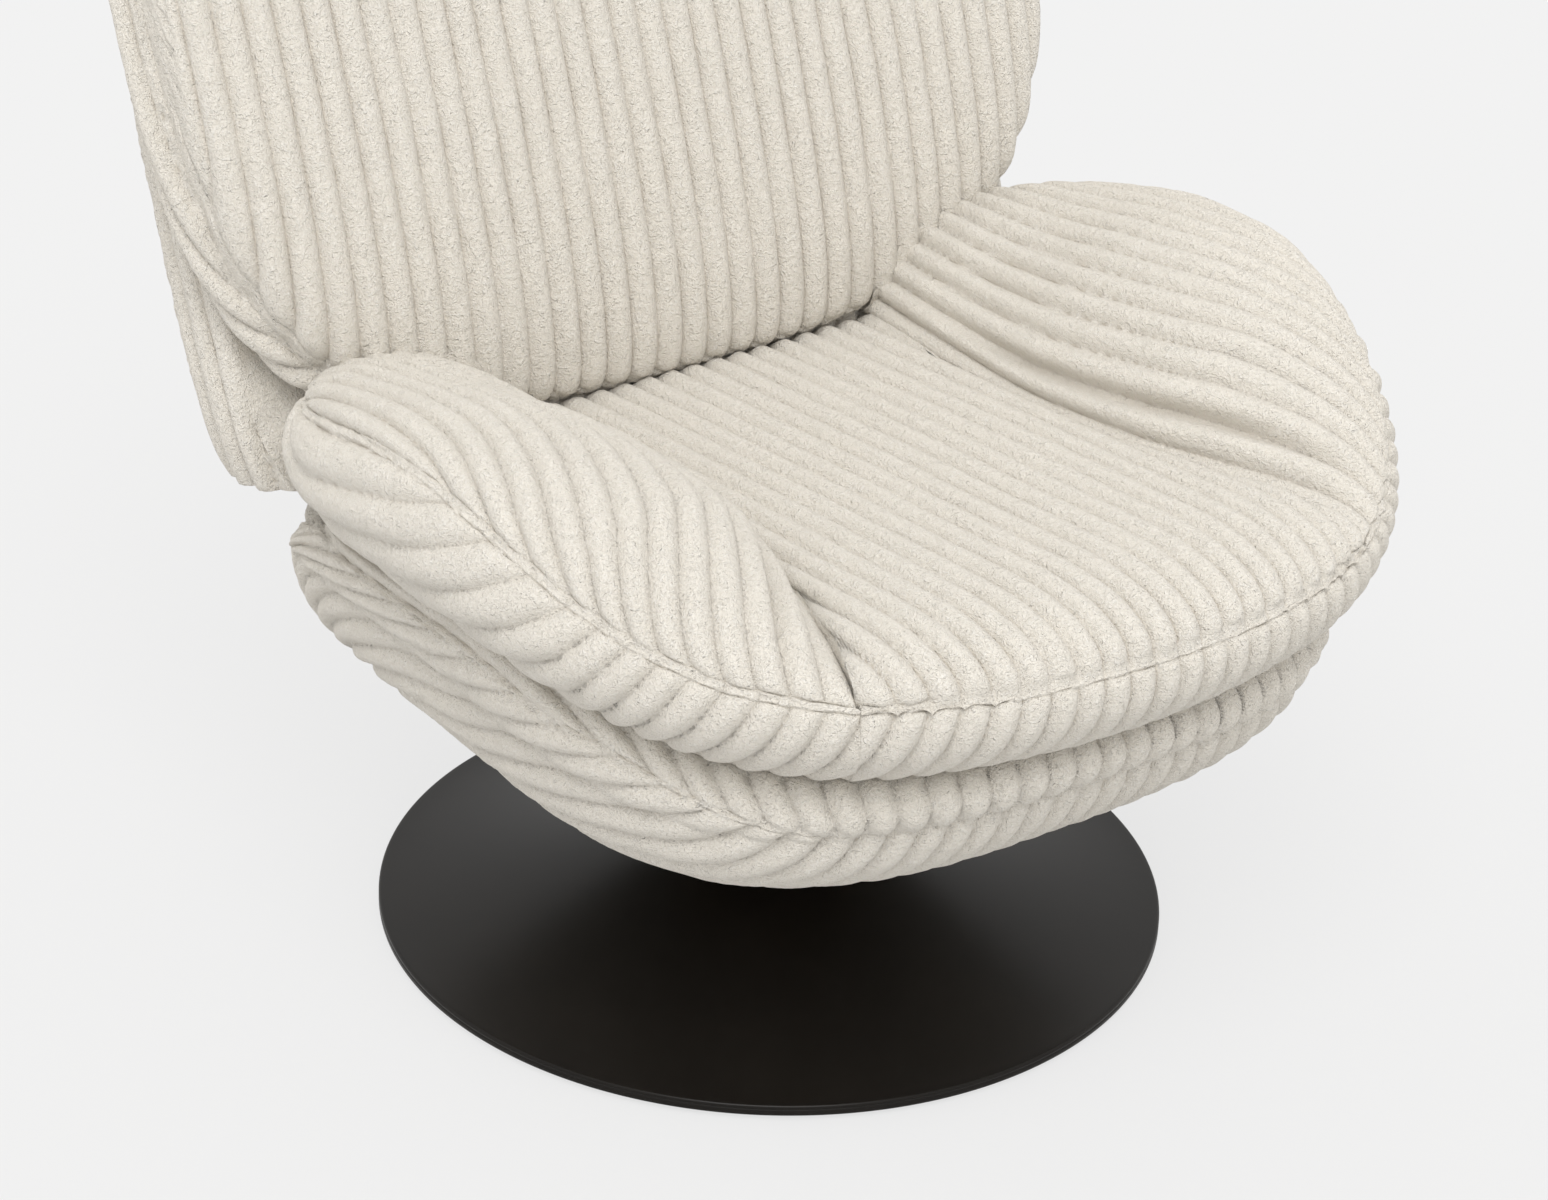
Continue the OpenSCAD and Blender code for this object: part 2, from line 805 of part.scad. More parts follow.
base_cover();
base_plate();
floor_pad();
column_flange();
flange_screws();
column_tube();
lower_bush();
upper_bush();
thrust_washer();
spindle();
retaining_ring();
swivel_plate();
plate_bolts();
plate_washers();
tee_nuts();
hub_spacer();
seat_board();
frame_feet();
foot_screws();
seat_frame();
seat_clips();
seat_straps();
seat_felt();
seat_cushion();
arm_cushion_left();
arm_cushion_right();
seat_shell();
back_brackets();
bracket_bolts();
bracket_nuts();
back_frame();
back_clips();
back_straps();
back_felt();
back_cushion();
back_shell();
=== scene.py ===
# %% [markdown]
# # A ribbed plush swivel chair
# The chair is a low lounge chair on a dark spun base. Its cover is plush sewn in ribs about 20 mm wide,
# so nearly everything that shows is soft. The hard parts come from the construction model, which is
# loaded first and never moved. The soft parts are modelled here as surfaces worked out with numpy: a
# plain base shape first, then the ribs, seams and puckers pushed out along its normals.

# %% Load the frame
import bpy
import numpy as np
from mathutils import Matrix, Vector


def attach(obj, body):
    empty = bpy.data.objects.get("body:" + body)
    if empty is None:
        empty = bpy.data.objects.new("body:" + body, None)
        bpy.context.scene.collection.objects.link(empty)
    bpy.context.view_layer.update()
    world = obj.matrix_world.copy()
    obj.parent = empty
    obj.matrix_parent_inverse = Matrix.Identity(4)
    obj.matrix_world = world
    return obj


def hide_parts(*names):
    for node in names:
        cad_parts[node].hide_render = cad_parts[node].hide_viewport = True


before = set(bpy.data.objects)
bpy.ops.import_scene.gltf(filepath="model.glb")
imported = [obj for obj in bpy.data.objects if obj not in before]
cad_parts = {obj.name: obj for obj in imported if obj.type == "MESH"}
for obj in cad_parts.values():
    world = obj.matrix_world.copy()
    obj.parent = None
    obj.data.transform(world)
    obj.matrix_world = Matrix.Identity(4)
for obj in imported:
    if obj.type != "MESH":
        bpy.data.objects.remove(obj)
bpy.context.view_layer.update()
scene = bpy.context.scene

# %% [markdown]
# ## Camera
# The picture was taken from the front left, looking down on the seat with a long lens. The camera is
# made first, because every later render is compared with the photograph. Its place was worked out from
# the round base, which shows as an ellipse, and from pairs of points that are the same left and right.

# %% Camera
CAMERA_PLACE = (-1.8349, -2.4574, 1.9178)
CAMERA_TURN = -36.6537
CAMERA_PITCH = 28.6095
CAMERA_ROLL = 2.3033
LENS_MM = 116.7
SENSOR_MM = 36


def camera_axes(turn, pitch, roll):
    """Right, up and back directions of a camera that is turned about Z, raised, and rolled."""
    a, e, r = np.radians([turn, pitch, roll])
    back = np.array([np.sin(a) * np.cos(e), -np.cos(a) * np.cos(e), np.sin(e)])
    right = np.array([np.cos(a), np.sin(a), 0.0])
    up = np.cross(back, right)
    return right * np.cos(r) + up * np.sin(r), up * np.cos(r) - right * np.sin(r), back


right, up, back = camera_axes(CAMERA_TURN, CAMERA_PITCH, CAMERA_ROLL)
camera_data = bpy.data.cameras.new("camera")
camera_data.lens = LENS_MM
camera_data.sensor_width = SENSOR_MM
camera = bpy.data.objects.new("camera", camera_data)
rows = [[right[i], up[i], back[i], CAMERA_PLACE[i]] for i in range(3)]
camera.matrix_world = Matrix(rows + [[0, 0, 0, 1]])
scene.collection.objects.link(camera)
scene.camera = camera
print("camera at", CAMERA_PLACE, "lens", LENS_MM, "mm")

# %% [markdown]
# ## Outlines
# Each cushion has an outline seen from above or from the front. It could be drawn by hand as a curve,
# but a superellipse gives the same soft corners from six numbers: half its width, where its middle lies,
# how far it reaches below the middle, how square it is there, and the same two above the middle. A
# squareness of 2 is an ellipse. The formula also tells which way is outwards at any point, which the
# bands of the cushions need.

# %% Outlines
SEAT_LINE = (350, -70, 338, 2.3, 270, 3.3)
TUB_RIM_LINE = (320, -60, 298, 2.3, 300, 6)
TUB_SEAM_LINE = (304, -40, 308, 3, 285, 5)
CUSHION_LINE = (357, 300, 360, 3.2, 170, 2.3)
BACK_SHELL_LINE = (331, 160, 295, 5, 330, 2.4)
print("seat", 2 * SEAT_LINE[0], "mm wide, back cushion", 2 * CUSHION_LINE[0], "mm wide")


# %% Small formulas
def mix(a, b, t):
    """Straight line from a at t = 0 to b at t = 1."""
    return a + (b - a) * t


def arch(c, n):
    """(1 - |c|^n)^(1/n): 1 in the middle, falling to 0 at c = -1 and c = 1."""
    return np.maximum(0, 1 - np.minimum(1, np.abs(c)) ** n) ** (1 / n)


def half_sine(s, power=0.8):
    """Rounded half sine, sin(pi s)^power: 0 at s = 0 and s = 1, steep at both ends, and 1 half way."""
    return np.maximum(0, np.sin(np.pi * s)) ** power


def signed_power(v, e):
    """|v|^e with the sign of v."""
    return np.sign(v) * np.abs(v) ** e


def smooth(t):
    """0 below 0, 1 above 1, and an S-shaped climb between."""
    t = np.clip(t, 0, 1)
    return t * t * (3 - 2 * t)


print("an arch at its middle, half way out and its end:", arch(np.array([0, 0.5, 1]), 2.3))


# %% Points of an outline
def on_line(line, a):
    """Point of an outline at angle a: half * cos^(2/n) across, middle + reach * sin^(2/n) along."""
    half, middle, low, low_n, high, high_n = line
    s, c = np.sin(np.radians(a)), np.cos(np.radians(a))
    n = np.where(s < 0, low_n, high_n)
    reach = np.where(s < 0, low, high)
    return half * signed_power(c, 2 / n), middle + reach * signed_power(s, 2 / n)


def outward(line, a):
    """Normal of an outline at angle a: cos^(2 - 2/n) / half and sin^(2 - 2/n) / reach, made 1 long."""
    half, _, low, low_n, high, high_n = line
    s, c = np.sin(np.radians(a)), np.cos(np.radians(a))
    e = 2 - 2 / np.where(s < 0, low_n, high_n)
    x = signed_power(c, e) / half
    y = signed_power(s, e) / np.where(s < 0, low, high)
    size = np.hypot(x, y)
    return x / size, y / size


def low_end(line, x):
    """Lowest point of an outline over x: its middle less an arch of its lower reach."""
    return line[1] - line[2] * arch(x / line[0], line[3])


def high_end(line, x):
    """Highest point of an outline over x: its middle and an arch of its upper reach."""
    return line[1] + line[4] * arch(x / line[0], line[5])


print("front and side of the seat:", on_line(SEAT_LINE, np.array([-90.0, 0.0])))

# %% Even steps along an outline
QUARTER_STEPS = 900
CROWDING = 4


def even_angles(line, first, last, count):
    """Angles from first to last that lie evenly spaced along an outline.

    Near the ends of its axes a superellipse runs far for a tiny angle, so the outline is first measured
    at angles that crowd together there, and the even ones are read off its length.
    """
    w = np.linspace(0, 1, QUARTER_STEPS)[:-1]
    crowded = w ** CROWDING / (w ** CROWDING + (1 - w) ** CROWDING)
    a = np.concatenate([(quarter + crowded) * 90 for quarter in range(-4, 4)])
    a = np.concatenate([[first], a[(a > first) & (a < last)], [last]])
    x, y = on_line(line, a)
    along = np.concatenate([[0], np.cumsum(np.hypot(np.diff(x), np.diff(y)))])
    return np.interp(np.linspace(0, along[-1], count), along, a)


print("even angles on a quarter of the seat:", even_angles(SEAT_LINE, 0, 90, 5).round(1))

# %% [markdown]
# ## Lumps
# Cloth over foam is never perfectly even. A noise texture could bend it in the material, but the ribs
# have to move with it, so the noise is worked out here at each point: random values on the corners of a
# lattice, blended between. Several layers of it, each with its own size, shift the ribs, change their
# height, and make the tufts along the seams.

# %% Lumps
HASH_FACTORS = np.array([73856093, 19349663, 83492791])
HASH_MIX = 1274126177
HASH_MASK = 0xFFFFFFF
HASH_LEVELS = 4096
SEED_SHIFT = 7.31


def lumps(p, size, seed):
    """Smooth noise from -1 to 1: random values on a cubic lattice of that size, blended between."""
    q = p / size + seed * SEED_SHIFT
    low = np.floor(q).astype(np.int64)
    f = smooth(q - low)
    total = 0
    for corner in range(8):
        step = np.array([corner & 1, corner >> 1 & 1, corner >> 2 & 1])
        cell = (low + step) * HASH_FACTORS
        key = cell[..., 0] ^ cell[..., 1] ^ cell[..., 2]
        key = (key ^ (key >> 13)) * HASH_MIX & HASH_MASK
        weight = np.prod(np.where(step, f, 1 - f), axis=-1)
        total = total + weight * ((key % HASH_LEVELS) / (HASH_LEVELS / 2) - 1)
    return total


def with_lumps(value, p, layers):
    """A value with layers of lumps added. Each layer is (how much, size in millimetres, seed)."""
    for amount, size, seed in layers:
        value = value + amount * lumps(p, size, seed)
    return value


print("lumps of 30 mm at three places 10 mm apart:", lumps(np.array([[0], [10], [20]]) * [1, 0, 0], 30, 1))


# %% Measures on a grid of points
def length_from(p, row):
    """Length along each ring of a grid from its point in that row, by adding up the steps."""
    step = np.linalg.norm(np.diff(p, axis=1), axis=-1)
    along = np.concatenate([np.zeros((len(p), 1)), np.cumsum(step, axis=1)], axis=1)
    return along - along[:, row:row + 1]


def normals(p):
    """Unit normals of a grid: the cross product of the steps between neighbours both ways."""
    n = np.cross(np.gradient(p, axis=0), np.gradient(p, axis=1))
    size = np.linalg.norm(n, axis=-1, keepdims=True)
    return n / np.maximum(size, 1e-9)


bent = np.array([[[0, 0, 0], [3, 4, 0], [3, 4, 2]]])
print("lengths from the middle one of three points:", length_from(bent, 1))

# %% [markdown]
# ## Ribs and seams
# A rib is a soft half-round between two stitched grooves. It could be painted on as a bump, but then the
# edges of the cushions would stay straight, and in the photograph they are scalloped. So each rib is
# real relief. Every point of a surface gets a number, its place across the ribs on the flat cloth. The
# part of that number after the point says where in the rib it lies, and that gives the height.
# The ribs are partly buried, so that their crests stand only a little outside the plain shape.

# %% Sizes of ribs and seams
RIB_PITCH = 20.3
RIB_HEIGHT = 7.4
RIB_BURIED = 5.8
RIB_FULLNESS = 0.78
# How the ribs shift to the side, in shares of the pitch, and how they differ in height
RIB_WANDER = ((0.035, 60, 1), (0.015, 23, 2))
RIB_UNEVEN = ((0.06, 38, 3), (0.04, 13, 4))
# Where next to a seam the ribs start, and within what length they rise
RIB_START = 0.3
RIB_RUN_IN = 2.8
# The strip over a seam: half its width, how it wanders and frays, its edge, and how a rib lifts it
SEAM_HALF = 2.7
SEAM_WANDER = ((0.9, 9, 8), (0.6, 21, 9))
SEAM_FRAY = ((0.5, 6, 12),)
STRIP_STEP = 1.2
STRIP_LOW = 0.2
STRIP_OVER_RIB = 0.46
STRIP_FULLNESS = 0.6
# Tufts along the seams, and the unevenness of the pile and the foam everywhere
TUFT_REACH = 5
TUFTS = ((1.1, 4.2, 5), (0.8, 9, 6))
PILE_LUMPS = ((0.16, 5, 7), (0.8, 90, 10))
# The crevice on each side of the strip, which is broken off here and there
CREVICE_DEPTH = 1.4
CREVICE_OUT = 0.2
CREVICE_HALF = 0.6
CREVICE_SHARE = 0.5
CREVICE_BREAKS = ((0.9, 11, 11),)
# How much less painted shade a groove gets under the strip, and how much painted shade a crevice gets
SEAM_SHADE = 0.7
# Distance from a seam that is given to hidden rows, where nothing of the seam is left
FAR = 60
print("crests stand", round(RIB_HEIGHT - RIB_BURIED, 1), "mm out, grooves lie", RIB_BURIED, "mm in")


# %% Relief of the cloth
def rib_profile(across):
    """Height of a rib over the place across the ribs: (1 - t^2)^fullness, t from -1 to 1 across it."""
    t = np.abs(2 * (across - np.floor(across)) - 1)
    return np.maximum(0, 1 - t ** 2) ** RIB_FULLNESS


def ribbed(p, across, edge):
    """Pushes a grid along its normals by its ribs. edge is the distance to the nearest seam.

    At a seam the pile of both panels closes over the stitches in a strip a few millimetres wide. The
    strip is as high as half a rib, is pinched where a groove meets it, and has a crevice on each side,
    from which the ribs rise in rounded ends. Gives the new points and the depth in a groove, 0 to 1,
    which the material paints as shade in grooves and crevices, and less over the strip.
    """
    rib = rib_profile(across + with_lumps(0, p, RIB_WANDER))
    near = with_lumps(np.abs(with_lumps(edge, p, SEAM_WANDER)), p, SEAM_FRAY)
    strip = smooth((SEAM_HALF + STRIP_STEP / 2 - near) / STRIP_STEP)
    rise = np.sqrt(1 - np.exp(-np.maximum(0, near - SEAM_HALF + RIB_START) / RIB_RUN_IN))
    body = rib * rise * with_lumps(1, p, RIB_UNEVEN) * (1 - strip)
    body = body + strip * (STRIP_LOW + STRIP_OVER_RIB * rib ** STRIP_FULLNESS)
    tufts = np.exp(-(near / TUFT_REACH) ** 2) * with_lumps(0, p, TUFTS)
    relief = with_lumps(RIB_HEIGHT * body + tufts, p, PILE_LUMPS)
    crevice = np.exp(-((near - SEAM_HALF - CREVICE_OUT) / CREVICE_HALF) ** 2)
    crevice = crevice * np.maximum(0, with_lumps(CREVICE_SHARE, p, CREVICE_BREAKS))
    # Painted shade: grooves and the crevices beside a seam are marked for a darker colour, less over the
    # strip
    groove = np.maximum((1 - rib) ** 2 * (1 - SEAM_SHADE * strip), SEAM_SHADE * np.minimum(1, crevice))
    return p + normals(p) * (relief - CREVICE_DEPTH * crevice - RIB_BURIED)[..., None], groove


def eased(cover, plain, gap, reach):
    """Lets the ribs fade into the plain surface where the gap to a fold is less than reach."""
    return mix(plain, cover, smooth(gap / reach)[..., None])


print("a rib at five places across it:", rib_profile(np.linspace(0, 1, 5)).round(2))

# %% [markdown]
# ## From a grid to a mesh
# Each surface is a grid of points, and small helpers turn grids into Blender meshes. One sews a row of
# rings into a closed skin with a point in the middle of each end, one closes a grid both ways like a
# tyre, and one joins several open panels into one piece, the way a cover is sewn from panels. The depth
# in a groove goes along as an attribute, so that the material can paint shade into the grooves.

# %% Meshes from grids
MM = 0.001
SHARP_ANGLE = 75
NO_FANS = np.zeros((0, 3), int)


def sides(m, n, start=0, wrap_rows=False, wrap_columns=False):
    """Corner numbers of the quads between the points of an m by n grid."""
    i = np.arange(m if wrap_rows else m - 1)[:, None]
    j = np.arange(n if wrap_columns else n - 1)[None, :]
    i2, j2 = (i + 1) % m, (j + 1) % n
    quads = np.stack([i * n + j, i2 * n + j, i2 * n + j2, i * n + j2], axis=-1)
    return quads.reshape(-1, 4) + start


def build(name, points, quads, groove, fans=NO_FANS):
    """A smooth mesh object from points in millimetres, quads, and fans of triangles."""
    mesh = bpy.data.meshes.new(name)
    loops = np.concatenate([quads.ravel(), fans.ravel()])
    sizes = np.concatenate([np.full(len(quads), 4), np.full(len(fans), 3)])
    mesh.vertices.add(len(points))
    mesh.vertices.foreach_set("co", (points * MM).ravel())
    mesh.loops.add(len(loops))
    mesh.loops.foreach_set("vertex_index", loops)
    mesh.polygons.add(len(sizes))
    mesh.polygons.foreach_set("loop_start", np.concatenate([[0], np.cumsum(sizes)[:-1]]))
    mesh.update(calc_edges=True)
    mesh.validate()
    mesh.shade_smooth()
    mesh.set_sharp_from_angle(angle=np.radians(SHARP_ANGLE))
    # The groove value goes on as an attribute: painted shade of grooves, crevices and pleats
    layer = mesh.attributes.new("groove", "FLOAT", "POINT")
    layer.data.foreach_set("value", groove.ravel())
    piece = bpy.data.objects.new(name, mesh)
    scene.collection.objects.link(piece)
    print(name, len(points), "points,", len(quads) * 2 + len(fans), "triangles")
    return piece


print("a grid of 3 by 4 points has", len(sides(3, 4)), "quads, and closed both ways",
      len(sides(3, 4, 0, True, True)))


# %% Closed and sewn pieces
def skin(name, rings, groove):
    """A closed skin over a row of rings, with a point in the middle of each end."""
    m, n = rings.shape[:2]
    points = np.concatenate([rings.reshape(-1, 3), [rings[0].mean(0), rings[-1].mean(0)]])
    j = np.arange(n)
    k = (j + 1) % n
    first = np.stack([np.full(n, m * n), j, k], axis=-1)
    last = np.stack([np.full(n, m * n + 1), (m - 1) * n + k, (m - 1) * n + j], axis=-1)
    depth = np.concatenate([groove.ravel(), [1, 1]])
    return build(name, points, sides(m, n, wrap_columns=True), depth, np.concatenate([first, last]))


def tyre(name, rings, groove):
    """A skin that is closed both ways and has no ends, like a tyre."""
    m, n = rings.shape[:2]
    return build(name, rings.reshape(-1, 3), sides(m, n, 0, True, True), groove)


def panels(name, parts):
    """One piece from several open panels. Each part is (grid, groove, wraps around)."""
    points, quads, depth, start = [], [], [], 0
    for grid, groove, wraps in parts:
        m, n = grid.shape[:2]
        quads.append(sides(m, n, start, wrap_rows=wraps))
        points.append(grid.reshape(-1, 3))
        depth.append(groove.ravel())
        start += m * n
    return build(name, np.concatenate(points), np.concatenate(quads), np.concatenate(depth))


print("faces turn sharp at", SHARP_ANGLE, "degrees")

# %% [markdown]
# ## The sides of the seat
# Below its outer seam the seat has a soft side that swells out and then tucks in over the tub. The seam
# lies low in front and climbs over the arms. The same formulas serve the seat and both arms, so that
# their sides run on into each other. The ribs of the side are those of a second panel cut like the top
# one. That is why they leave the seam at the opposite slant and make the small arrow shapes along it.

# %% Sides of the seat
SWELL_Y = -80
SWELL_FRONT = 300
SEAM_FRONT_Z = 395
ARM_RISE = 80
ARM_RUN = 380
CUSHION_Z = 318
FOLD_RISE = 44
FOLD_RUN = 500
SIDE_BULGE = 22
SIDE_BULGE_MORE = 0.5
SIDE_TUCK = 50
SIDE_TUCK_LESS = 19


def swell(y, run):
    """A cosine hill along the seat: 1 beside the sitter, 0 at the front edge and a run behind."""
    reach = np.where(y < SWELL_Y, SWELL_FRONT, run)
    return (1 + np.cos(np.pi * np.minimum(1, np.abs(y - SWELL_Y) / reach))) / 2


def seam_z(y):
    """Height of the outer seam."""
    return SEAM_FRONT_Z + ARM_RISE * swell(y, ARM_RUN)


def fold_z(y):
    """Height of the fold where the seat rests on the tub."""
    return CUSHION_Z + FOLD_RISE * swell(y, FOLD_RUN)


def side_point(a, s):
    """Side of the seat at outline angle a, from the fold (s = 0) up to the seam (s = 1).

    It swells out by a rounded half sine, more so beside the arms, and is tucked in towards the fold.
    """
    x, y = on_line(SEAT_LINE, a)
    ox, oy = outward(SEAT_LINE, a)
    hill = swell(y, ARM_RUN)
    bulge = SIDE_BULGE * half_sine(s) * (1 + SIDE_BULGE_MORE * hill)
    out = bulge - (SIDE_TUCK - SIDE_TUCK_LESS * hill) * (1 - s)
    return np.stack([x + ox * out, y + oy * out, mix(fold_z(y), seam_z(y), s)], axis=-1)


print("seam", seam_z(-400), "mm high in front and", seam_z(SWELL_Y), "mm over the arms")

# %% The crease between seat and arm
REAR_SEAT_Z = 378
CREASE_REAR = (160, 118)
CREASE_FRONT = (206, -360)
CREASE_FRONT_LOW = (179, -321)
CREASE_BOW = 36
# A power above 1, which moves the widest place of the bow a little towards the front
BOW_FORWARDS = 1.15


def line_angle(line, x):
    """Angle of the point of an outline's front half over x: the arccosine of (x / half)^(n / 2)."""
    c = signed_power(x / line[0], line[3] / 2)
    return -np.degrees(np.arccos(c))


def crease_share(y):
    """Share of the way along the crease, 0 at its rear end and 1 at the front seam."""
    return (CREASE_REAR[1] - y) / (CREASE_REAR[1] - CREASE_FRONT[1])


def crease_x(y):
    """Width of the straight line that the crease follows."""
    return mix(CREASE_REAR[0], CREASE_FRONT[0], crease_share(y))


def bow(y):
    """How far the arm bulges in over the seat beyond that line: half a sine wave along the crease."""
    return CREASE_BOW * np.sin(np.pi * np.clip(crease_share(y), 0, 1) ** BOW_FORWARDS)


def crease_low(t):
    """The foot of the crease, where seat and arm rest on the tub, at a share t of the way forwards."""
    x = mix(CREASE_REAR[0], CREASE_FRONT_LOW[0], t)
    y = mix(CREASE_REAR[1], CREASE_FRONT_LOW[1], t)
    return x, y, CUSHION_Z + 0 * t


print("the crease bows in by up to", CREASE_BOW, "mm and meets the front seam at",
      round(line_angle(SEAT_LINE, CREASE_FRONT[0]), 1), "degrees of the seat's outline")

# %% [markdown]
# ## Where the back stands
# The back leans 22 degrees. It is easiest to shape it upright, with its own width, depth and height, and
# then to lean it. The same turn backwards tells how deep a point of the seat reaches into the back, so
# the seat and the arms can be pressed flat against it and don't run through it.

# %% Leaning, and room for the back
LEAN = 22
BACK_FOOT = (0, 165, 420)
BACK_PLANE = 19
BACK_CROWN = 48
# How square the arches of its crown are, upwards and from side to side
BACK_ARCHES = (2.6, 4.5)
BACK_SEAM_Y = -20
PRESS_DEPTH = 2


def lean(p):
    """Turns upright back points (width, depth, height) into place on the chair."""
    c, s = np.cos(np.radians(LEAN)), np.sin(np.radians(LEAN))
    y = BACK_FOOT[1] + p[..., 1] * c + p[..., 2] * s
    z = BACK_FOOT[2] - p[..., 1] * s + p[..., 2] * c
    return np.stack([p[..., 0], y, z], axis=-1)


def unlean(p):
    """The way back from the chair to the upright back."""
    c, s = np.cos(np.radians(LEAN)), np.sin(np.radians(LEAN))
    y, z = p[..., 1] - BACK_FOOT[1], p[..., 2] - BACK_FOOT[2]
    return np.stack([p[..., 0], y * c - z * s, y * s + z * c], axis=-1)


def back_front(x, w):
    """Depth of the back cushion's front over width x and height w: its seam less a crown of two arches."""
    low, high = low_end(CUSHION_LINE, x), high_end(CUSHION_LINE, x)
    c = 2 * (w - low) / np.maximum(high - low, 1) - 1
    return BACK_SEAM_Y - BACK_CROWN * arch(c, BACK_ARCHES[0]) * arch(x / CUSHION_LINE[0], BACK_ARCHES[1])


def pressed(p):
    """Moves points that reach into the back forward, to just under the crests of its ribs.

    Beside the cushion they are kept in front of the back shell instead.
    """
    q = unlean(p)
    low, high = low_end(CUSHION_LINE, q[..., 0]), high_end(CUSHION_LINE, q[..., 0])
    behind = (np.abs(q[..., 0]) < CUSHION_LINE[0]) & (q[..., 2] > low) & (q[..., 2] < high)
    wall = np.where(behind, back_front(q[..., 0], q[..., 2]) + PRESS_DEPTH, BACK_PLANE - 1)
    q[..., 1] = np.minimum(q[..., 1], wall)
    return lean(q)


print("top of the back cushion at", lean(np.array([0, 0, CUSHION_LINE[1] + CUSHION_LINE[4]])), "mm")

# %% [markdown]
# ## Seat cushion
# The cushion is crowned, lower at the rear, and its ribs run from front to back and on down over the
# front seam. It could start as a cube with a subdivision, but then the ribs wouldn't follow the cloth.
# Instead it is a row of closed rings from left to right, and a groove falls exactly on a ring.

# %% Height of the seat
SEAT_CROWN = 41
# How square the arches of its crown are, back from the nose and from side to side
SEAT_ARCHES = (2.2, 5)
NOSE_RUN = 98
BEYOND_CREASE = 4
CROWN_FADE = 0.9
REAR_FALL = 0.8


def seat_height(x, y):
    """Height of the seat: the seam's height, a fall towards the rear, and a crown that rounds off.

    The crown is an arch back from the nose times an arch that ends just beyond the crease, and it fades
    towards the rear. Behind the crease the seat falls steeply.
    """
    front, nose = low_end(SEAT_LINE, x), low_end(SEAT_LINE, np.zeros_like(x))
    back = (y - nose) / (CREASE_REAR[1] - nose)
    rise = arch(1 - np.minimum(1, (y - front) / NOSE_RUN), SEAT_ARCHES[0])
    rise = rise * arch(x / (crease_x(y) + BEYOND_CREASE), SEAT_ARCHES[1])
    fall = (REAR_SEAT_Z - SEAM_FRONT_Z) * np.minimum(1, back)
    crown = SEAT_CROWN * rise * np.maximum(0, 1 - back) ** CROWN_FADE
    return seam_z(front) + fall + crown - np.maximum(0, y - CREASE_REAR[1]) * REAR_FALL


print("seat 100 mm behind its front:", seat_height(np.zeros(1), np.full(1, -308.0)).round(), "mm high")

# %% Rings of the seat
SEAT_RIBS = 21
STEPS_PER_RIB = 12
SEAT_SIDE_ROWS = 34
SEAT_TOP_ROWS = 130
SEAT_WALL_ROWS = 14
BELOW_ROWS = 16
SIDE_CROWDING = 1.2
TOP_CROWDING = 1.5
# How far back the seat reaches between the arms, on its top and at its foot
SEAT_REAR_Y = 146
SEAT_FOOT_Y = 140
# Share of a full slant at which the side's ribs run
BAND_SLANT = 0.6
# Length next to a fold over which the ribs of seat and arms fade
FOLD_REACH = 3


def seat_rings():
    """Rings across the seat: up the front side, back over the top, down the rear and along below."""
    half = SEAT_RIBS * STEPS_PER_RIB // 2
    pitch = (CREASE_FRONT[0] - 1) * 2 / SEAT_RIBS
    x = np.arange(-half, half + 1)[:, None] * pitch / STEPS_PER_RIB
    a = np.where(x < 0, -180 - line_angle(SEAT_LINE, -x), line_angle(SEAT_LINE, x))
    side = side_point(a, np.sin(np.linspace(0, np.pi / 2, SEAT_SIDE_ROWS))[None, :-1] ** SIDE_CROWDING)
    front = low_end(SEAT_LINE, x)
    t = (np.abs(x) - CREASE_REAR[0]) / (CREASE_FRONT[0] - CREASE_REAR[0])
    outer = np.abs(x) > CREASE_REAR[0]
    end = np.where(outer, np.maximum(mix(CREASE_REAR[1], CREASE_FRONT[1], t), front + 10), SEAT_REAR_Y)
    y = mix(front, end, np.linspace(0, 1, SEAT_TOP_ROWS)[None, :] ** TOP_CROWDING)
    pushed = bow(y) * np.minimum(1, np.abs(x) / crease_x(y)) ** 4
    top = np.stack([x - np.sign(x) * pushed, y, seat_height(x + 0 * y, y)], axis=-1)
    low_x, low_y, low_z = crease_low(np.clip(t, 0, 1))
    foot = [np.where(outer, np.sign(x) * low_x, x), np.where(outer, low_y, SEAT_FOOT_Y), low_z]
    foot = np.concatenate(foot, axis=-1)[:, None]
    wall = mix(top[:, -1:], foot, np.linspace(0, 1, SEAT_WALL_ROWS)[None, 1:, None])
    below = mix(foot, side[:, :1], np.linspace(0, 1, BELOW_ROWS)[None, 1:-1, None])
    rings = np.concatenate([side, top, wall, below], axis=1)
    seam_row = side.shape[1]
    place = rings[..., 0] / pitch + 0.5
    place[:, :seam_row] = x / pitch + 0.5
    return rings, a, place, seam_row, seam_row + top.shape[1]


rings, angle, place, seam_row, shown = seat_rings()
print("seat of", len(rings), "rings with", rings.shape[1], "points each")

# %% Seat cushion
edge = length_from(rings, seam_row)
slant = BAND_SLANT * outward(SEAT_LINE, angle)[0]
place[:, :seam_row] += (slant * edge / RIB_PITCH)[:, :seam_row]
edge[:, shown:] = FAR
cover, groove = ribbed(rings, place, edge)
cover = eased(cover, rings, length_from(rings, 0), FOLD_REACH)
cover[:, shown:] = rings[:, shown:]
seat_cover = skin("seat_cushion_cover", pressed(cover), groove)

# %% [markdown]
# ## Arm cushions
# Each arm is a puffy sausage that starts as a point at the front corner, climbs beside the sitter and
# ends behind the back cushion. Its ribs run along the crease and the outer seam cuts them off one by
# one. The ring at each angle goes up out of the crease, over the puff to the seam, down the side and back
# along below. A deep pleat lies beside the crease, where the cloth of the arm is too long for its bend.
# The left arm is the right one turned over, with lumps of its own.

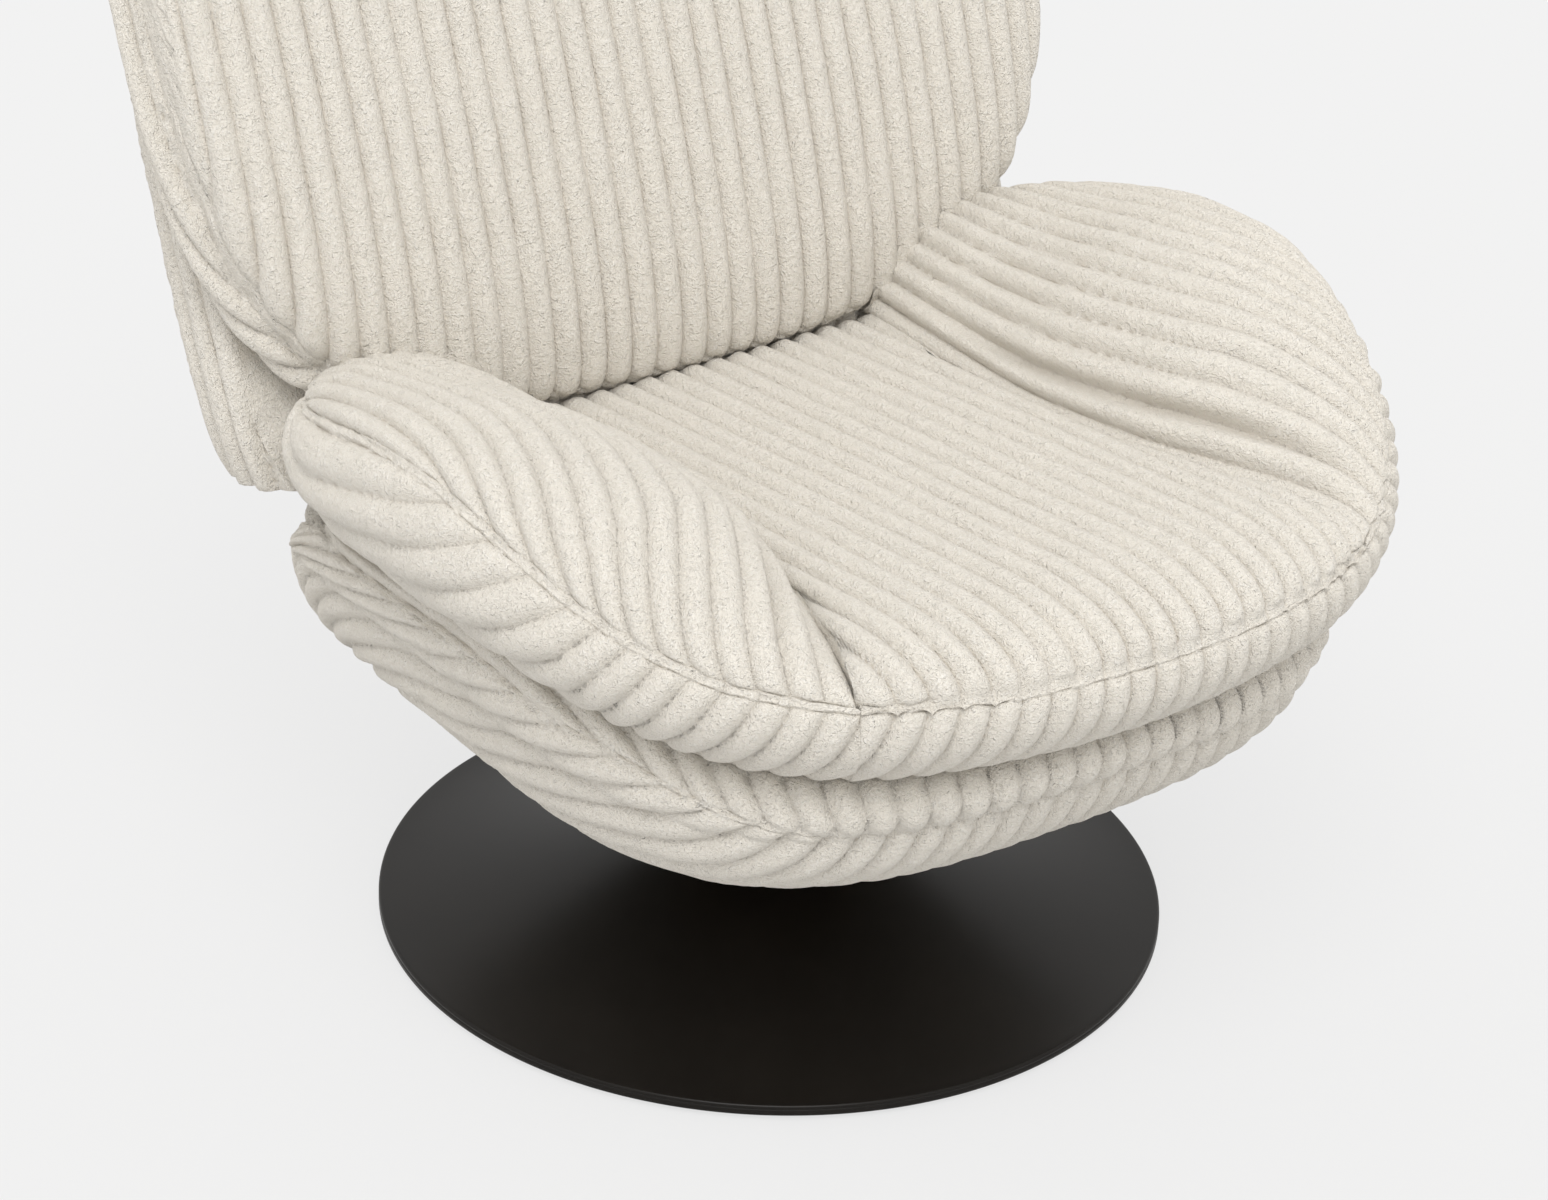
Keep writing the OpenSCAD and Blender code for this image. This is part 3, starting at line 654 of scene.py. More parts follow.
# %% Shape of an arm
ARM_RINGS = 400
ARM_TOP_ROWS = 152
ARM_SIDE_ROWS = 46
ARM_WALL_ROWS = 9
ARM_PUFF = 66
FULL_PUFF_WIDTH = 186
REAR_PUFF_LESS = 0.28
# Share of the crease from which the puff gets less towards the rear, and over which share
LESS_FROM = 0.3
LESS_RUN = 0.5
# How far the arm's first row lies over the seat and below the seat's top
ARM_OVER_SEAT = 2
ARM_BELOW_TOP = 4
# Angles on the seat's outline: the arm's point, where the crease ends, and the end behind the back
ARM_FIRST = line_angle(SEAT_LINE, CREASE_FRONT[0] - 1)
ARM_CREASE_END = 36
ARM_END = 60
# Millimetres for each degree that the arm's first row goes on behind the crease
STEP_BEHIND = 1.2


def arm_rings():
    """Rings of the right arm from the rear to the front, and what its ribs need to know of them.

    Over the puff a point lies at a share v of the way from the crease to the seam, raised at right
    angles to that way by the square root of a sine, which is steep at both ends like a full cushion.
    Gives the rings, their angles, their shares t along the crease, their ways, and the rows where the
    puff starts, where the seam lies and where the underside starts.
    """
    a = even_angles(SEAT_LINE, ARM_FIRST, ARM_END, ARM_RINGS)[::-1, None]
    t = np.minimum(1, (a - ARM_FIRST) / (ARM_CREASE_END - ARM_FIRST))
    y = mix(CREASE_FRONT[1], CREASE_REAR[1], t) + np.maximum(0, a - ARM_CREASE_END) * STEP_BEHIND
    crease_y = np.minimum(y, CREASE_REAR[1])
    start_x = crease_x(crease_y) - bow(crease_y) - ARM_OVER_SEAT
    start = np.stack([start_x, y, mix(SEAM_FRONT_Z, REAR_SEAT_Z, t) - ARM_BELOW_TOP], axis=-1)
    bx, by = on_line(SEAT_LINE, a)
    end = np.stack([bx, by, seam_z(by)], axis=-1)
    way = end - start
    wide = np.hypot(way[..., 0], way[..., 1])
    up = np.stack([-way[..., 0] * way[..., 2] / wide, -way[..., 1] * way[..., 2] / wide, wide], axis=-1)
    up = up / np.linalg.norm(up, axis=-1, keepdims=True)
    puff = ARM_PUFF * np.minimum(1, np.linalg.norm(way, axis=-1) / FULL_PUFF_WIDTH)
    puff = puff * (1 - REAR_PUFF_LESS * smooth((t - LESS_FROM) / LESS_RUN))
    v = (1 - np.cos(np.pi * np.linspace(0, 1, ARM_TOP_ROWS)[None, :])) / 2
    top = start + way * v[..., None] + up * (puff * np.sqrt(np.sin(np.pi * v)))[..., None]
    foot = np.stack(crease_low(1 - t), axis=-1)
    wall = mix(foot, start, np.linspace(0, 1, ARM_WALL_ROWS)[None, :-1, None])
    side = side_point(a, np.sin(np.linspace(np.pi / 2, 0, ARM_SIDE_ROWS))[None, 1:] ** SIDE_CROWDING)
    below = mix(side[:, -1:], foot, np.linspace(0, 1, BELOW_ROWS)[None, 1:-1, None])
    rings = np.concatenate([wall, top, side, below], axis=1)
    first, last = wall.shape[1], rings.shape[1] - below.shape[1]
    return rings, a, t, way, (first, first + top.shape[1] - 1, last)


print("an arm runs from", ARM_FIRST.round(1), "to", ARM_END, "degrees of the seat's outline")

# %% Ribs and pleat of an arm
# How closely the ribs lie over the puff, in front and at the rear
ARM_CLOSENESS = (0.62, 1.15)
PLEAT_DEPTH = 10
PLEAT_PLACE = 2
PLEAT_DRIFT = 0.3
PLEAT_HALF = 0.24
PLEAT_SHADE = 0.8
# Where along the crease the pleat starts and ends, and over which shares it comes and goes
PLEAT_FROM, PLEAT_TO = 0.06, 0.9
PLEAT_COMES, PLEAT_GOES = 0.2, 0.3


def arm_ribs(rings, a, t, way, first, seam):
    """The ribs' place at each point of an arm, the length from its seam, and its pleat from 0 to 1.

    Over the puff a length counts across the ribs by how squarely its way leaves the crease. On the side
    the ribs leave the seam at a slant. The pleat is a bell curve around the second groove from the
    crease, drifts towards the crease on its way back, and is held to the middle of the arm.
    """
    crease_way = np.subtract(CREASE_FRONT, CREASE_REAR) / np.hypot(*np.subtract(CREASE_FRONT, CREASE_REAR))
    across = np.abs(crease_way[0] * way[..., 1] - crease_way[1] * way[..., 0])
    across = across / np.hypot(way[..., 0], way[..., 1])
    place = length_from(rings, first) * across * mix(*ARM_CLOSENESS, smooth(t)) / RIB_PITCH
    from_seam = length_from(rings, seam)
    slant = BAND_SLANT * outward(SEAT_LINE, a)[0]
    place[:, seam:] = place[:, seam:seam + 1] - (slant * from_seam / RIB_PITCH)[:, seam:]
    held = smooth((t - PLEAT_FROM) / PLEAT_COMES) * smooth((PLEAT_TO - t) / PLEAT_GOES)
    held = held * (np.arange(rings.shape[1]) < seam)
    pleat = held * np.exp(-((place - PLEAT_PLACE + PLEAT_DRIFT * t) / PLEAT_HALF) ** 2)
    return place, from_seam, pleat


def arm(name, flip):
    """One arm cushion with its ribs, turned over for the left side."""
    rings, a, t, way, (first, seam, last) = arm_rings()
    place, edge, pleat = arm_ribs(rings, a, t, way, first, seam)
    edge[:, last:] = FAR
    if flip:
        rings, place, edge, pleat = rings[::-1] * np.array([-1, 1, 1]), place[::-1], edge[::-1], pleat[::-1]
    cover, groove = ribbed(rings, place, edge)
    cover = cover - normals(rings) * (PLEAT_DEPTH * pleat)[..., None]
    # Painted shade: the pleat's fold is also darkened in the colour
    groove = np.maximum(groove, PLEAT_SHADE * pleat)
    cover = eased(cover, rings, np.abs(length_from(rings, last - 1)), FOLD_REACH)
    cover[:, last:] = rings[:, last:]
    return skin(name, pressed(cover), groove)


arm_right = arm("arm_right_cover", False)
arm_left = arm("arm_left_cover", True)

# %% [markdown]
# ## Back cushion
# The back cushion is a pillow of three panels: a crowned front with upright ribs, a side band that runs
# once around it, and a flat rear. A front panel in polar rings would cross the ribs at every slant and
# blur them. So the front is a grid of upright columns, each rib made of whole columns, and the band is
# a second grid. Where they meet, the front panel dips at its rim and the band turns in under it, so that
# no gap shows.

# %% Panels and bands
BACK_RIBS = 33
BACK_STEPS_PER_RIB = 10
BACK_REACH = 0.97
PANEL_ROWS = 130
BAND_COLUMNS = 1100
TUCK_DEPTH = 3.5
TUCK_REACH = 2.5
# Rows of a band that turn in under the panel: shares of the band's width that they lie beyond the seam
TUCK_ROWS = np.array([0.05, 0.12, 0.2])
TUCK_RISE = 20
# Shares of the outermost strip of a panel at which its closer columns stand
CLOSER_COLUMNS = np.array([0.25, 0.45, 0.62, 0.76, 0.87, 0.94, 0.98, 0.995, 1])


def front_columns():
    """Columns from -1 to 1: whole steps of each rib, and closer ones towards the rounded edge."""
    half = BACK_RIBS * BACK_STEPS_PER_RIB // 2
    inner = np.arange(-half, half + 1) / half * BACK_REACH
    outer = mix(BACK_REACH, 1, CLOSER_COLUMNS)
    return np.concatenate([-outer[::-1], inner, outer])


def panel_grid(line, way):
    """Widths, heights and distances to the edge on upright columns inside an outline.

    The columns go from left to right for a panel that faces forwards (way 1), else back (way -1).
    """
    x = front_columns()[::way, None] * line[0]
    c = -np.cos(np.linspace(0, np.pi, PANEL_ROWS))[None, :]
    w = mix(low_end(line, x), high_end(line, x), (c + 1) / 2)
    x = x + 0 * w
    up = np.minimum(high_end(line, x) - w, w - low_end(line, x))
    return x, w, np.maximum(0, np.minimum(up, line[0] - np.abs(x)))


def band_line(line):
    """Evenly spaced points around an outline, and the way outwards at each."""
    a = even_angles(line, 0, 360, BAND_COLUMNS + 1)[:-1, None]
    return on_line(line, a) + outward(line, a)


def tucked(edge):
    """How far a panel dips at its rim, so that its edge is sewn in under the side band."""
    return TUCK_DEPTH * np.exp(-edge / TUCK_REACH)


def shrunk(ring, middle, shares):
    """Rings inside a ring, each at a share of its size around a middle point."""
    return np.array(middle) + (ring - np.array(middle)) * np.array(shares)[None, :, None]


print("a panel of the back has", len(front_columns()), "columns of", PANEL_ROWS, "points")

# %% Back cushion
BACK_BAND_ROWS = 30
BACK_BULGE = 13
BACK_TUCK_IN = 90
BACK_EDGE_IN = 7
# Shares of its size at which rings close the flat rear
REAR_RINGS = (0.1, 0.4, 0.97)


def back_panels():
    """The front panel and the side band of the back cushion, upright and then leaned.

    The band swells out by a rounded half sine between the flat rear and the seam in front.
    """
    pitch = 2 * BACK_REACH * CUSHION_LINE[0] / BACK_RIBS
    x, w, edge = panel_grid(CUSHION_LINE, 1)
    front = np.stack([x, back_front(x, w) + tucked(edge), w], axis=-1)
    front, front_groove = ribbed(front, x / pitch + 0.5, edge)
    px, py, ox, oy = band_line(CUSHION_LINE)
    s = np.concatenate([np.linspace(0, 1, BACK_BAND_ROWS), 1 + TUCK_ROWS])[None, :]
    inside, beyond = np.minimum(1, s), np.maximum(0, s - 1)
    out = BACK_BULGE * half_sine(inside) - BACK_TUCK_IN * beyond
    out = out - BACK_EDGE_IN * (1 - inside) ** 3
    y = mix(BACK_PLANE - 1, BACK_SEAM_Y, inside) - TUCK_RISE * beyond + 0 * px
    band = np.stack([px + ox * out, y, py + oy * out], axis=-1)
    rear = shrunk(band[:, :1], (0, BACK_PLANE - 1, CUSHION_LINE[1]), REAR_RINGS)
    seam_row = rear.shape[1] + BACK_BAND_ROWS - 1
    band = np.concatenate([rear, band], axis=1)
    from_seam = length_from(band, seam_row)
    band, band_groove = ribbed(band, px / pitch + 0.5 + ox * from_seam / RIB_PITCH, from_seam)
    band[:, :rear.shape[1]] = rear
    return (lean(front), front_groove, False), (lean(band), band_groove, True)


back_cover = panels("back_cushion_cover", back_panels())

# %% [markdown]
# ## Back shell
# Behind the cushion stands a second, deeper pillow that hides the frame. It is made the same way, with
# its crowned panel to the rear. Its lower end rests on the rim of the tub, so points that would sink
# into the rim are lifted on to it.

# %% Rear panel of the back shell
BACK_SHELL_SEAM = 78
BACK_SHELL_CROWN = 41
BACK_SHELL_POWER = 2.4


def shell_rear(line):
    """The plain rear panel: a crown that falls off by how near a point lies to the outline."""
    x, w, edge = panel_grid(line, -1)
    below = w < line[1]
    n, reach = np.where(below, line[3], line[5]), np.where(below, line[2], line[4])
    share = (np.abs(x / line[0]) ** n + np.abs((w - line[1]) / reach) ** n) ** (1 / n)
    y = BACK_SHELL_SEAM + BACK_SHELL_CROWN * np.sqrt(np.maximum(0, 1 - share ** BACK_SHELL_POWER))
    return np.stack([x, y - tucked(edge), w], axis=-1), edge


print("the back shell is", BACK_SHELL_SEAM + BACK_SHELL_CROWN - BACK_PLANE, "mm deep in its middle")

# %% Back shell
SHELL_BAND_ROWS = 37
SHELL_BULGE = 7
SHELL_TUCK_IN = 60
SHELL_EDGE_IN = 7
SHELL_ROOM = 50
# Share of the band's width from which its front edge turns in
SHELL_TURN = 0.75
# Shares of its size at which rings make the narrow rim in front, and then the room behind it
SHELL_RIM_RINGS = (0.985, 0.86)
SHELL_ROOM_RINGS = (0.86, 0.4, 0.03)
REST_GAP = 1.5


def rested(p):
    """Lifts points of the back shell that would sink into the tub on to its rim."""
    q = p.copy()
    q[..., 2] = np.maximum(p[..., 2], fold_z(p[..., 1]) + REST_GAP)
    return q


def shell_panels():
    """The rear panel and the side band of the back shell, upright and then leaned.

    The band goes on in front as a narrow rim that lies against the cushion, and then into the room
    for the frame inside.
    """
    line = BACK_SHELL_LINE
    pitch = 2 * BACK_REACH * line[0] / BACK_RIBS
    rear, edge = shell_rear(line)
    rear, rear_groove = ribbed(rear, rear[..., 0] / pitch + 0.5, edge)
    px, py, ox, oy = band_line(line)
    s = np.concatenate([-TUCK_ROWS[::-1], np.linspace(0, 1, SHELL_BAND_ROWS)])[None, :]
    inside, beyond = np.clip(s, 0, 1), np.maximum(0, -s)
    out = SHELL_BULGE * half_sine(inside) - SHELL_TUCK_IN * beyond
    out = out - SHELL_EDGE_IN * smooth((inside - SHELL_TURN) / (1 - SHELL_TURN)) ** 2
    y = mix(BACK_SHELL_SEAM, BACK_PLANE + 1, inside) + TUCK_RISE * beyond + 0 * px
    band = np.stack([px + ox * out, y, py + oy * out], axis=-1)
    middle = (0, BACK_PLANE + 1, line[1])
    front = shrunk(band[:, -1:], middle, SHELL_RIM_RINGS)
    room = shrunk(band[:, -1:], middle, SHELL_ROOM_RINGS) + np.array([0, SHELL_ROOM, 0])
    closing = np.concatenate([front, room], axis=1)
    shown, seam_row = band.shape[1], len(TUCK_ROWS)
    band = np.concatenate([band, closing], axis=1)
    from_seam = length_from(band, seam_row)
    place = px / pitch + 0.5 - ox * from_seam / RIB_PITCH
    band, band_groove = ribbed(band, place, from_seam)
    band[:, shown:] = closing
    return (rested(lean(rear)), rear_groove, False), (rested(lean(band)), band_groove, True)


back_shell_cover = panels("back_shell_cover", shell_panels())

# %% [markdown]
# ## The tub
# The tub under the seat is an upholstered bowl. A rim band hangs from the cushions' fold down to a seam,
# and from there a second panel runs under the chair to the hub. The seam lies low in front and climbs
# beside the arms to just below the fold. The rim's ribs stand upright in front and lie along the fold at
# the sides, and those of the underside run off backwards at a slant, so the two panels meet in arrows.
# Both are numbered around the chair on the flat cloth. The tub is a ring of sections around the axis.

# %% Heights and rib numbers around the tub
TUB_SEAM_FRONT = 277
TUB_SEAM_RISE = 23
TUB_SEAM_DROP = 42
TUB_FRONT_RUN = 350
TUB_REAR_RUN = 235


def tub_seam_z(y):
    """Height of the tub's seam: a cosine climb from the front, and a fourth power down to the rear."""
    front = TUB_SEAM_FRONT + TUB_SEAM_RISE / 2 * (1 + np.cos(np.pi * np.minimum(1, -y / TUB_FRONT_RUN)))
    rear = TUB_SEAM_FRONT + TUB_SEAM_RISE - TUB_SEAM_DROP * np.clip(y / TUB_REAR_RUN, 0, 1) ** 4
    return np.where(y < 0, front, rear)


def around(a, x, y, rate):
    """Rib numbers along a closed line, counted both ways from the front middle to the rear middle.

    rate says how much of each step along the line goes across the ribs. The sum is stretched a little,
    so that a whole number of ribs goes around and the two ways meet behind without a break.
    """
    step = np.hypot(np.diff(x[:, 0], append=x[0, 0]), np.diff(y[:, 0], append=y[0, 0]))
    step = step * rate[:, 0] / RIB_PITCH
    total = step.sum()
    passed = (np.cumsum(step) - step / 2) * np.round(total) / total
    front = np.interp(90, -a[:, 0], passed)
    return 0.5 + front - passed + np.round(total) * (a[:, 0] < -270)


print("tub seam", tub_seam_z(-TUB_FRONT_RUN), "mm high in front,", tub_seam_z(0), "mm at the sides and",
      tub_seam_z(TUB_REAR_RUN), "mm behind")

# %% Sizes of the tub
TUB_SECTIONS = 1000
TUB_FLOOR = 157
HUB_RADIUS = 98
HUB_LIP = 16
TUB_WALL = 34
BOARD_Z = 185
RIM_ROWS = 28
TUB_SEAM_ROW = 13
UNDER_ROWS = 64
RIM_BULGE = 14
RIM_FULLNESS = 0.75
RIM_TUCK = 5
# Share of the way from the rim's top line to the seam's line at which the seam is sewn: at the sides,
# and in front and behind
SEAM_SHARE = (0.28, 0.97)
# Where on the way round, as a sine, that share starts to change, and for how long
SHARE_FROM = 0.4
SHARE_BLEND = 0.6
# Where on the way round to the rear, as a sine, the top line leaves the seat's fold, and for how long
REAR_FROM = 0.7
REAR_BLEND = 0.25
# How square the underside's curve is, where 2 is an ellipse, and how much squarer it is behind and
# rounder in front
UNDER_SQUARE = 2
UNDER_REAR_MORE = 0.15
# A power below 1, which leaves longer steps between the underside's rows towards the hub
UNDER_CROWDING = 0.8
# Share of the way from the hub to the wall at which the board's level is reached
BOARD_SHARE = 0.6
# How far in and how far down from the top line the wall turns over under the seat
TUB_LEDGES = ((36, 14), (16, 4))
print("tub from", TUB_FLOOR, "mm high at the hub to", fold_z(SWELL_Y), "mm beside the arms")


# %% Sections of the tub
def tub_rings(a):
    """Sections of the tub at angles a: rim band, underside, and the inner wall.

    The rim's top line is the seat's fold, and behind the arms' ends a line of its own. The band bulges
    from there to the seam by a rounded half sine. The underside is a quarter of a superellipse from the
    seam in to the hub. Gives the sections and the number of rows that show.
    """
    s, c = np.sin(np.radians(a)), np.cos(np.radians(a))
    rx, ry = on_line(TUB_RIM_LINE, a)
    rear = np.clip((s - REAR_FROM) / REAR_BLEND, 0, 1)[..., None]
    rim = np.stack([rx, ry, fold_z(ry)], axis=-1)
    top = mix(side_point(a, 0 * a), rim, rear) - np.array([0, 0, 1])
    ox, oy = outward(TUB_RIM_LINE, a)
    out = np.stack([ox, oy, 0 * ox], axis=-1)
    gx, gy = on_line(TUB_SEAM_LINE, a)
    seam = np.stack([gx, gy, tub_seam_z(gy)], axis=-1)
    low = mix(*SEAM_SHARE, smooth((np.abs(s) - SHARE_FROM) / SHARE_BLEND))
    i = np.arange(RIM_ROWS)[None, :]
    upper, lower = low * i / TUB_SEAM_ROW, mix(low, 1, (i - TUB_SEAM_ROW) / (RIM_ROWS - 1 - TUB_SEAM_ROW))
    u = np.where(i <= TUB_SEAM_ROW, upper, lower)[..., None]
    band = mix(top, seam, u) + out * (RIM_BULGE * half_sine(u, RIM_FULLNESS) - RIM_TUCK * (1 - u) ** 8)
    hub = np.stack([HUB_RADIUS * c, HUB_RADIUS * s, TUB_FLOOR + 0 * c], axis=-1)
    q = np.cos(np.linspace(0, np.pi / 2, UNDER_ROWS))[None, 1:] ** UNDER_CROWDING
    m = UNDER_SQUARE + UNDER_REAR_MORE * s
    lift = 1 - (1 - q ** m) ** (1 / m)
    under = [mix(hub[..., 0], gx, q), mix(hub[..., 1], gy, q), mix(TUB_FLOOR, seam[..., 2], lift)]
    under = np.stack(under, axis=-1)
    inner = seam - out * TUB_WALL
    floor = mix(hub, inner, BOARD_SHARE) * np.array([1, 1, 0]) + np.array([0, 0, BOARD_Z])
    ledges = [top - out * inwards - np.array([0, 0, down]) for inwards, down in TUB_LEDGES]
    inside = [hub + np.array([0, 0, HUB_LIP]), floor, inner] + ledges
    return np.concatenate([band, under] + inside, axis=1), band.shape[1] + under.shape[1]


angle = even_angles(TUB_SEAM_LINE, -360, 0, TUB_SECTIONS + 1)[:0:-1, None]
rings, shown = tub_rings(angle)
print("tub of", len(rings), "sections with", rings.shape[1], "points each,", shown, "of them in sight")

# %% Ribs of the tub
# Power of the turn from upright ribs in front to ribs that lie along the rim beside the arms
RIM_TURN = 2.5
# Squared share of a step around the chair that still goes across the underside's ribs beside the arms
UNDER_LEFT = 0.22
# The tub's seam is this much narrower than the others, and its ribs fade over a longer way at the fold
SEAM_NARROWER = 1.7
TUB_FOLD_REACH = 5


def tub_ribs(rings, a):
    """The ribs' place at each point of the tub, and its length from the seam.

    Where the panel is turned sideways, less of a step around the chair goes across the ribs and more of
    a step away from the seam does.
    """
    gx, gy = on_line(TUB_SEAM_LINE, a)
    nx, ny = outward(TUB_SEAM_LINE, a)
    from_seam = length_from(rings, TUB_SEAM_ROW)
    aside = (rings[..., 1] - gy) * nx - (rings[..., 0] - gx) * ny
    side = np.sign(gx)
    lie = np.abs(nx) ** RIM_TURN
    across = np.sqrt(1 - lie ** 2)
    rim_place = around(a, gx, gy, across)[:, None] + (across * aside + side * lie * from_seam) / RIB_PITCH
    across = np.sqrt(ny ** 2 + UNDER_LEFT * nx ** 2)
    fan = np.sqrt(1 - across ** 2)
    under_place = around(a, gx, gy, across)[:, None] + (across * aside - side * fan * from_seam) / RIB_PITCH
    return np.where(from_seam > 0, under_place, rim_place), from_seam


place, from_seam = tub_ribs(rings, angle)
edge = SEAM_NARROWER * from_seam
edge[:, shown:] = FAR
cover, groove = ribbed(rings, place, edge)
cover = eased(cover, rings, length_from(rings, 0), TUB_FOLD_REACH)
cover[:, shown:] = rings[:, shown:]
tub_cover = tyre("tub_cover", cover, groove)

# %% [markdown]
# ## Spun base
# The base cover is sheet metal spun over a form: almost flat at the rim, climbing to the column like the
# mouth of a trumpet. A lathed profile is the natural way to make it. The profile has a small rounded
# edge at the rim, where the light catches, with a fine line below it, and an inner face one sheet's
# thickness below the outer one.

# %% Spun base cover
BASE_RADIUS = 280
NECK_RADIUS = 30.5
NECK_Z = 84
RIM_Z = 12
CURVE_END = 30
CURVE_POWER = 1.5
SHEET = 2.9
EDGE_ROUND = 2
ROUND_POINTS = 7
FOOT_Z = 4
FOOT_WIDTH = 3
FOOT_CHAMFER = 0.6
LINE_Z = 8.5
LINE_HALF = 0.3
LINE_DEPTH = 0.25
BASE_SECTIONS = 256
FACE_ROWS = 80


def cover_z(r):
    """Height of the cover at radius r: a power curve from the rim up to the neck."""
    return RIM_Z + (NECK_Z - RIM_Z) * ((BASE_RADIUS - r) / (BASE_RADIUS - CURVE_END)) ** CURVE_POWER


def lathe(name, r, z):
    """A closed profile of radii and heights, turned once around the vertical axis."""
    a = np.linspace(0, 2 * np.pi, BASE_SECTIONS, endpoint=False)[:, None]
    rings = np.stack([r * np.cos(a), r * np.sin(a), z + 0 * a], axis=-1)
    return tyre(name, rings, np.zeros(rings.shape[:2]))


turn = np.linspace(0, np.pi / 2, ROUND_POINTS)
outer_r = np.linspace(BASE_RADIUS - EDGE_ROUND, NECK_RADIUS, FACE_ROWS)
inner_r = outer_r[::-1] - np.linspace(0, 1, FACE_ROWS)
edge_r = BASE_RADIUS - np.array([FOOT_WIDTH, FOOT_CHAMFER, 0, 0, LINE_DEPTH, 0])
edge_z = [FOOT_Z, FOOT_Z, FOOT_Z + FOOT_CHAMFER, LINE_Z - LINE_HALF, LINE_Z, LINE_Z + LINE_HALF]
round_r = BASE_RADIUS - EDGE_ROUND + EDGE_ROUND * np.cos(turn)
round_z = RIM_Z - EDGE_ROUND + EDGE_ROUND * np.sin(turn)
profile_r = np.concatenate([edge_r, round_r, outer_r[1:], inner_r])
profile_z = np.concatenate([edge_z, round_z, cover_z(outer_r[1:]), cover_z(inner_r) - SHEET])
base_cover = lathe("spun_base_cover", profile_r[::-1], profile_z[::-1])
print("base cover from", profile_z.min(), "to", profile_z.max(), "mm high")

# %% [markdown]
# ## Pieces on their bodies
# Every new piece rides on a body of the construction model and stands in for its plain solid, which is
# hidden.

# %% Pieces on their bodies
SEAT_BODY = "seat"
for piece, node in ((seat_cover, "seat_cushion"), (arm_left, "arm_cushion_left"),
                    (arm_right, "arm_cushion_right"), (back_cover, "back_cushion"),
                    (back_shell_cover, "back_shell"), (tub_cover, "seat_shell")):
    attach(piece, SEAT_BODY)
    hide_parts(node)
    print(piece.name, "stands in for", node)
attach(base_cover, "base")
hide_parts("base_cover")
print(base_cover.name, "stands in for base_cover")

# %% [markdown]
# ## One effect for every surface
# No surface is one flat colour. Pile leans this way and that, paint has a fine orange-peel grain, felt is
# flecked. All of it is noise between two colours, so one node group makes it and the materials only
# differ in its numbers. The group works in object coordinates, so nothing slides when the chair turns.

# %% The grain group
GRAIN_DETAIL = 3
GRAIN_ROUGHNESS = 0.6
GRAIN_FROM = 0.36
GRAIN_TO = 0.66
# A Mix node's colours share their names with its numbers, so they are picked by place
MIX_A, MIX_B, MIX_RESULT = 6, 7, 2


def make_grain():
    """A node group: noise of a given scale as a colour between two others, and as a height."""
    tree = bpy.data.node_groups.new("grain", "ShaderNodeTree")
    for name, kind in (("Scale", "NodeSocketFloat"), ("Stretch", "NodeSocketVector"),
                       ("Dark", "NodeSocketColor"), ("Light", "NodeSocketColor")):
        tree.interface.new_socket(name, in_out="INPUT", socket_type=kind)
    for name, kind in (("Color", "NodeSocketColor"), ("Height", "NodeSocketFloat")):
        tree.interface.new_socket(name, in_out="OUTPUT", socket_type=kind)
    nodes, links = tree.nodes, tree.links
    given, result = nodes.new("NodeGroupInput"), nodes.new("NodeGroupOutput")
    where, stretched = nodes.new("ShaderNodeTexCoord"), nodes.new("ShaderNodeVectorMath")
    stretched.operation = "MULTIPLY"
    links.new(where.outputs["Object"], stretched.inputs[0])
    links.new(given.outputs["Stretch"], stretched.inputs[1])
    noise = nodes.new("ShaderNodeTexNoise")
    noise.inputs["Detail"].default_value = GRAIN_DETAIL
    noise.inputs["Roughness"].default_value = GRAIN_ROUGHNESS
    links.new(stretched.outputs["Vector"], noise.inputs["Vector"])
    links.new(given.outputs["Scale"], noise.inputs["Scale"])
    spread = nodes.new("ShaderNodeMapRange")
    spread.interpolation_type = "SMOOTHSTEP"
    spread.inputs["From Min"].default_value = GRAIN_FROM
    spread.inputs["From Max"].default_value = GRAIN_TO
    links.new(noise.outputs["Fac"], spread.inputs["Value"])
    colour = nodes.new("ShaderNodeMix")
    colour.data_type = "RGBA"
    links.new(spread.outputs["Result"], colour.inputs["Factor"])
    links.new(given.outputs["Dark"], colour.inputs[MIX_A])
    links.new(given.outputs["Light"], colour.inputs[MIX_B])
    links.new(colour.outputs[MIX_RESULT], result.inputs["Color"])
    links.new(noise.outputs["Fac"], result.inputs["Height"])
    return tree


grain_group = make_grain()
print("grain group with", len(grain_group.nodes), "nodes")


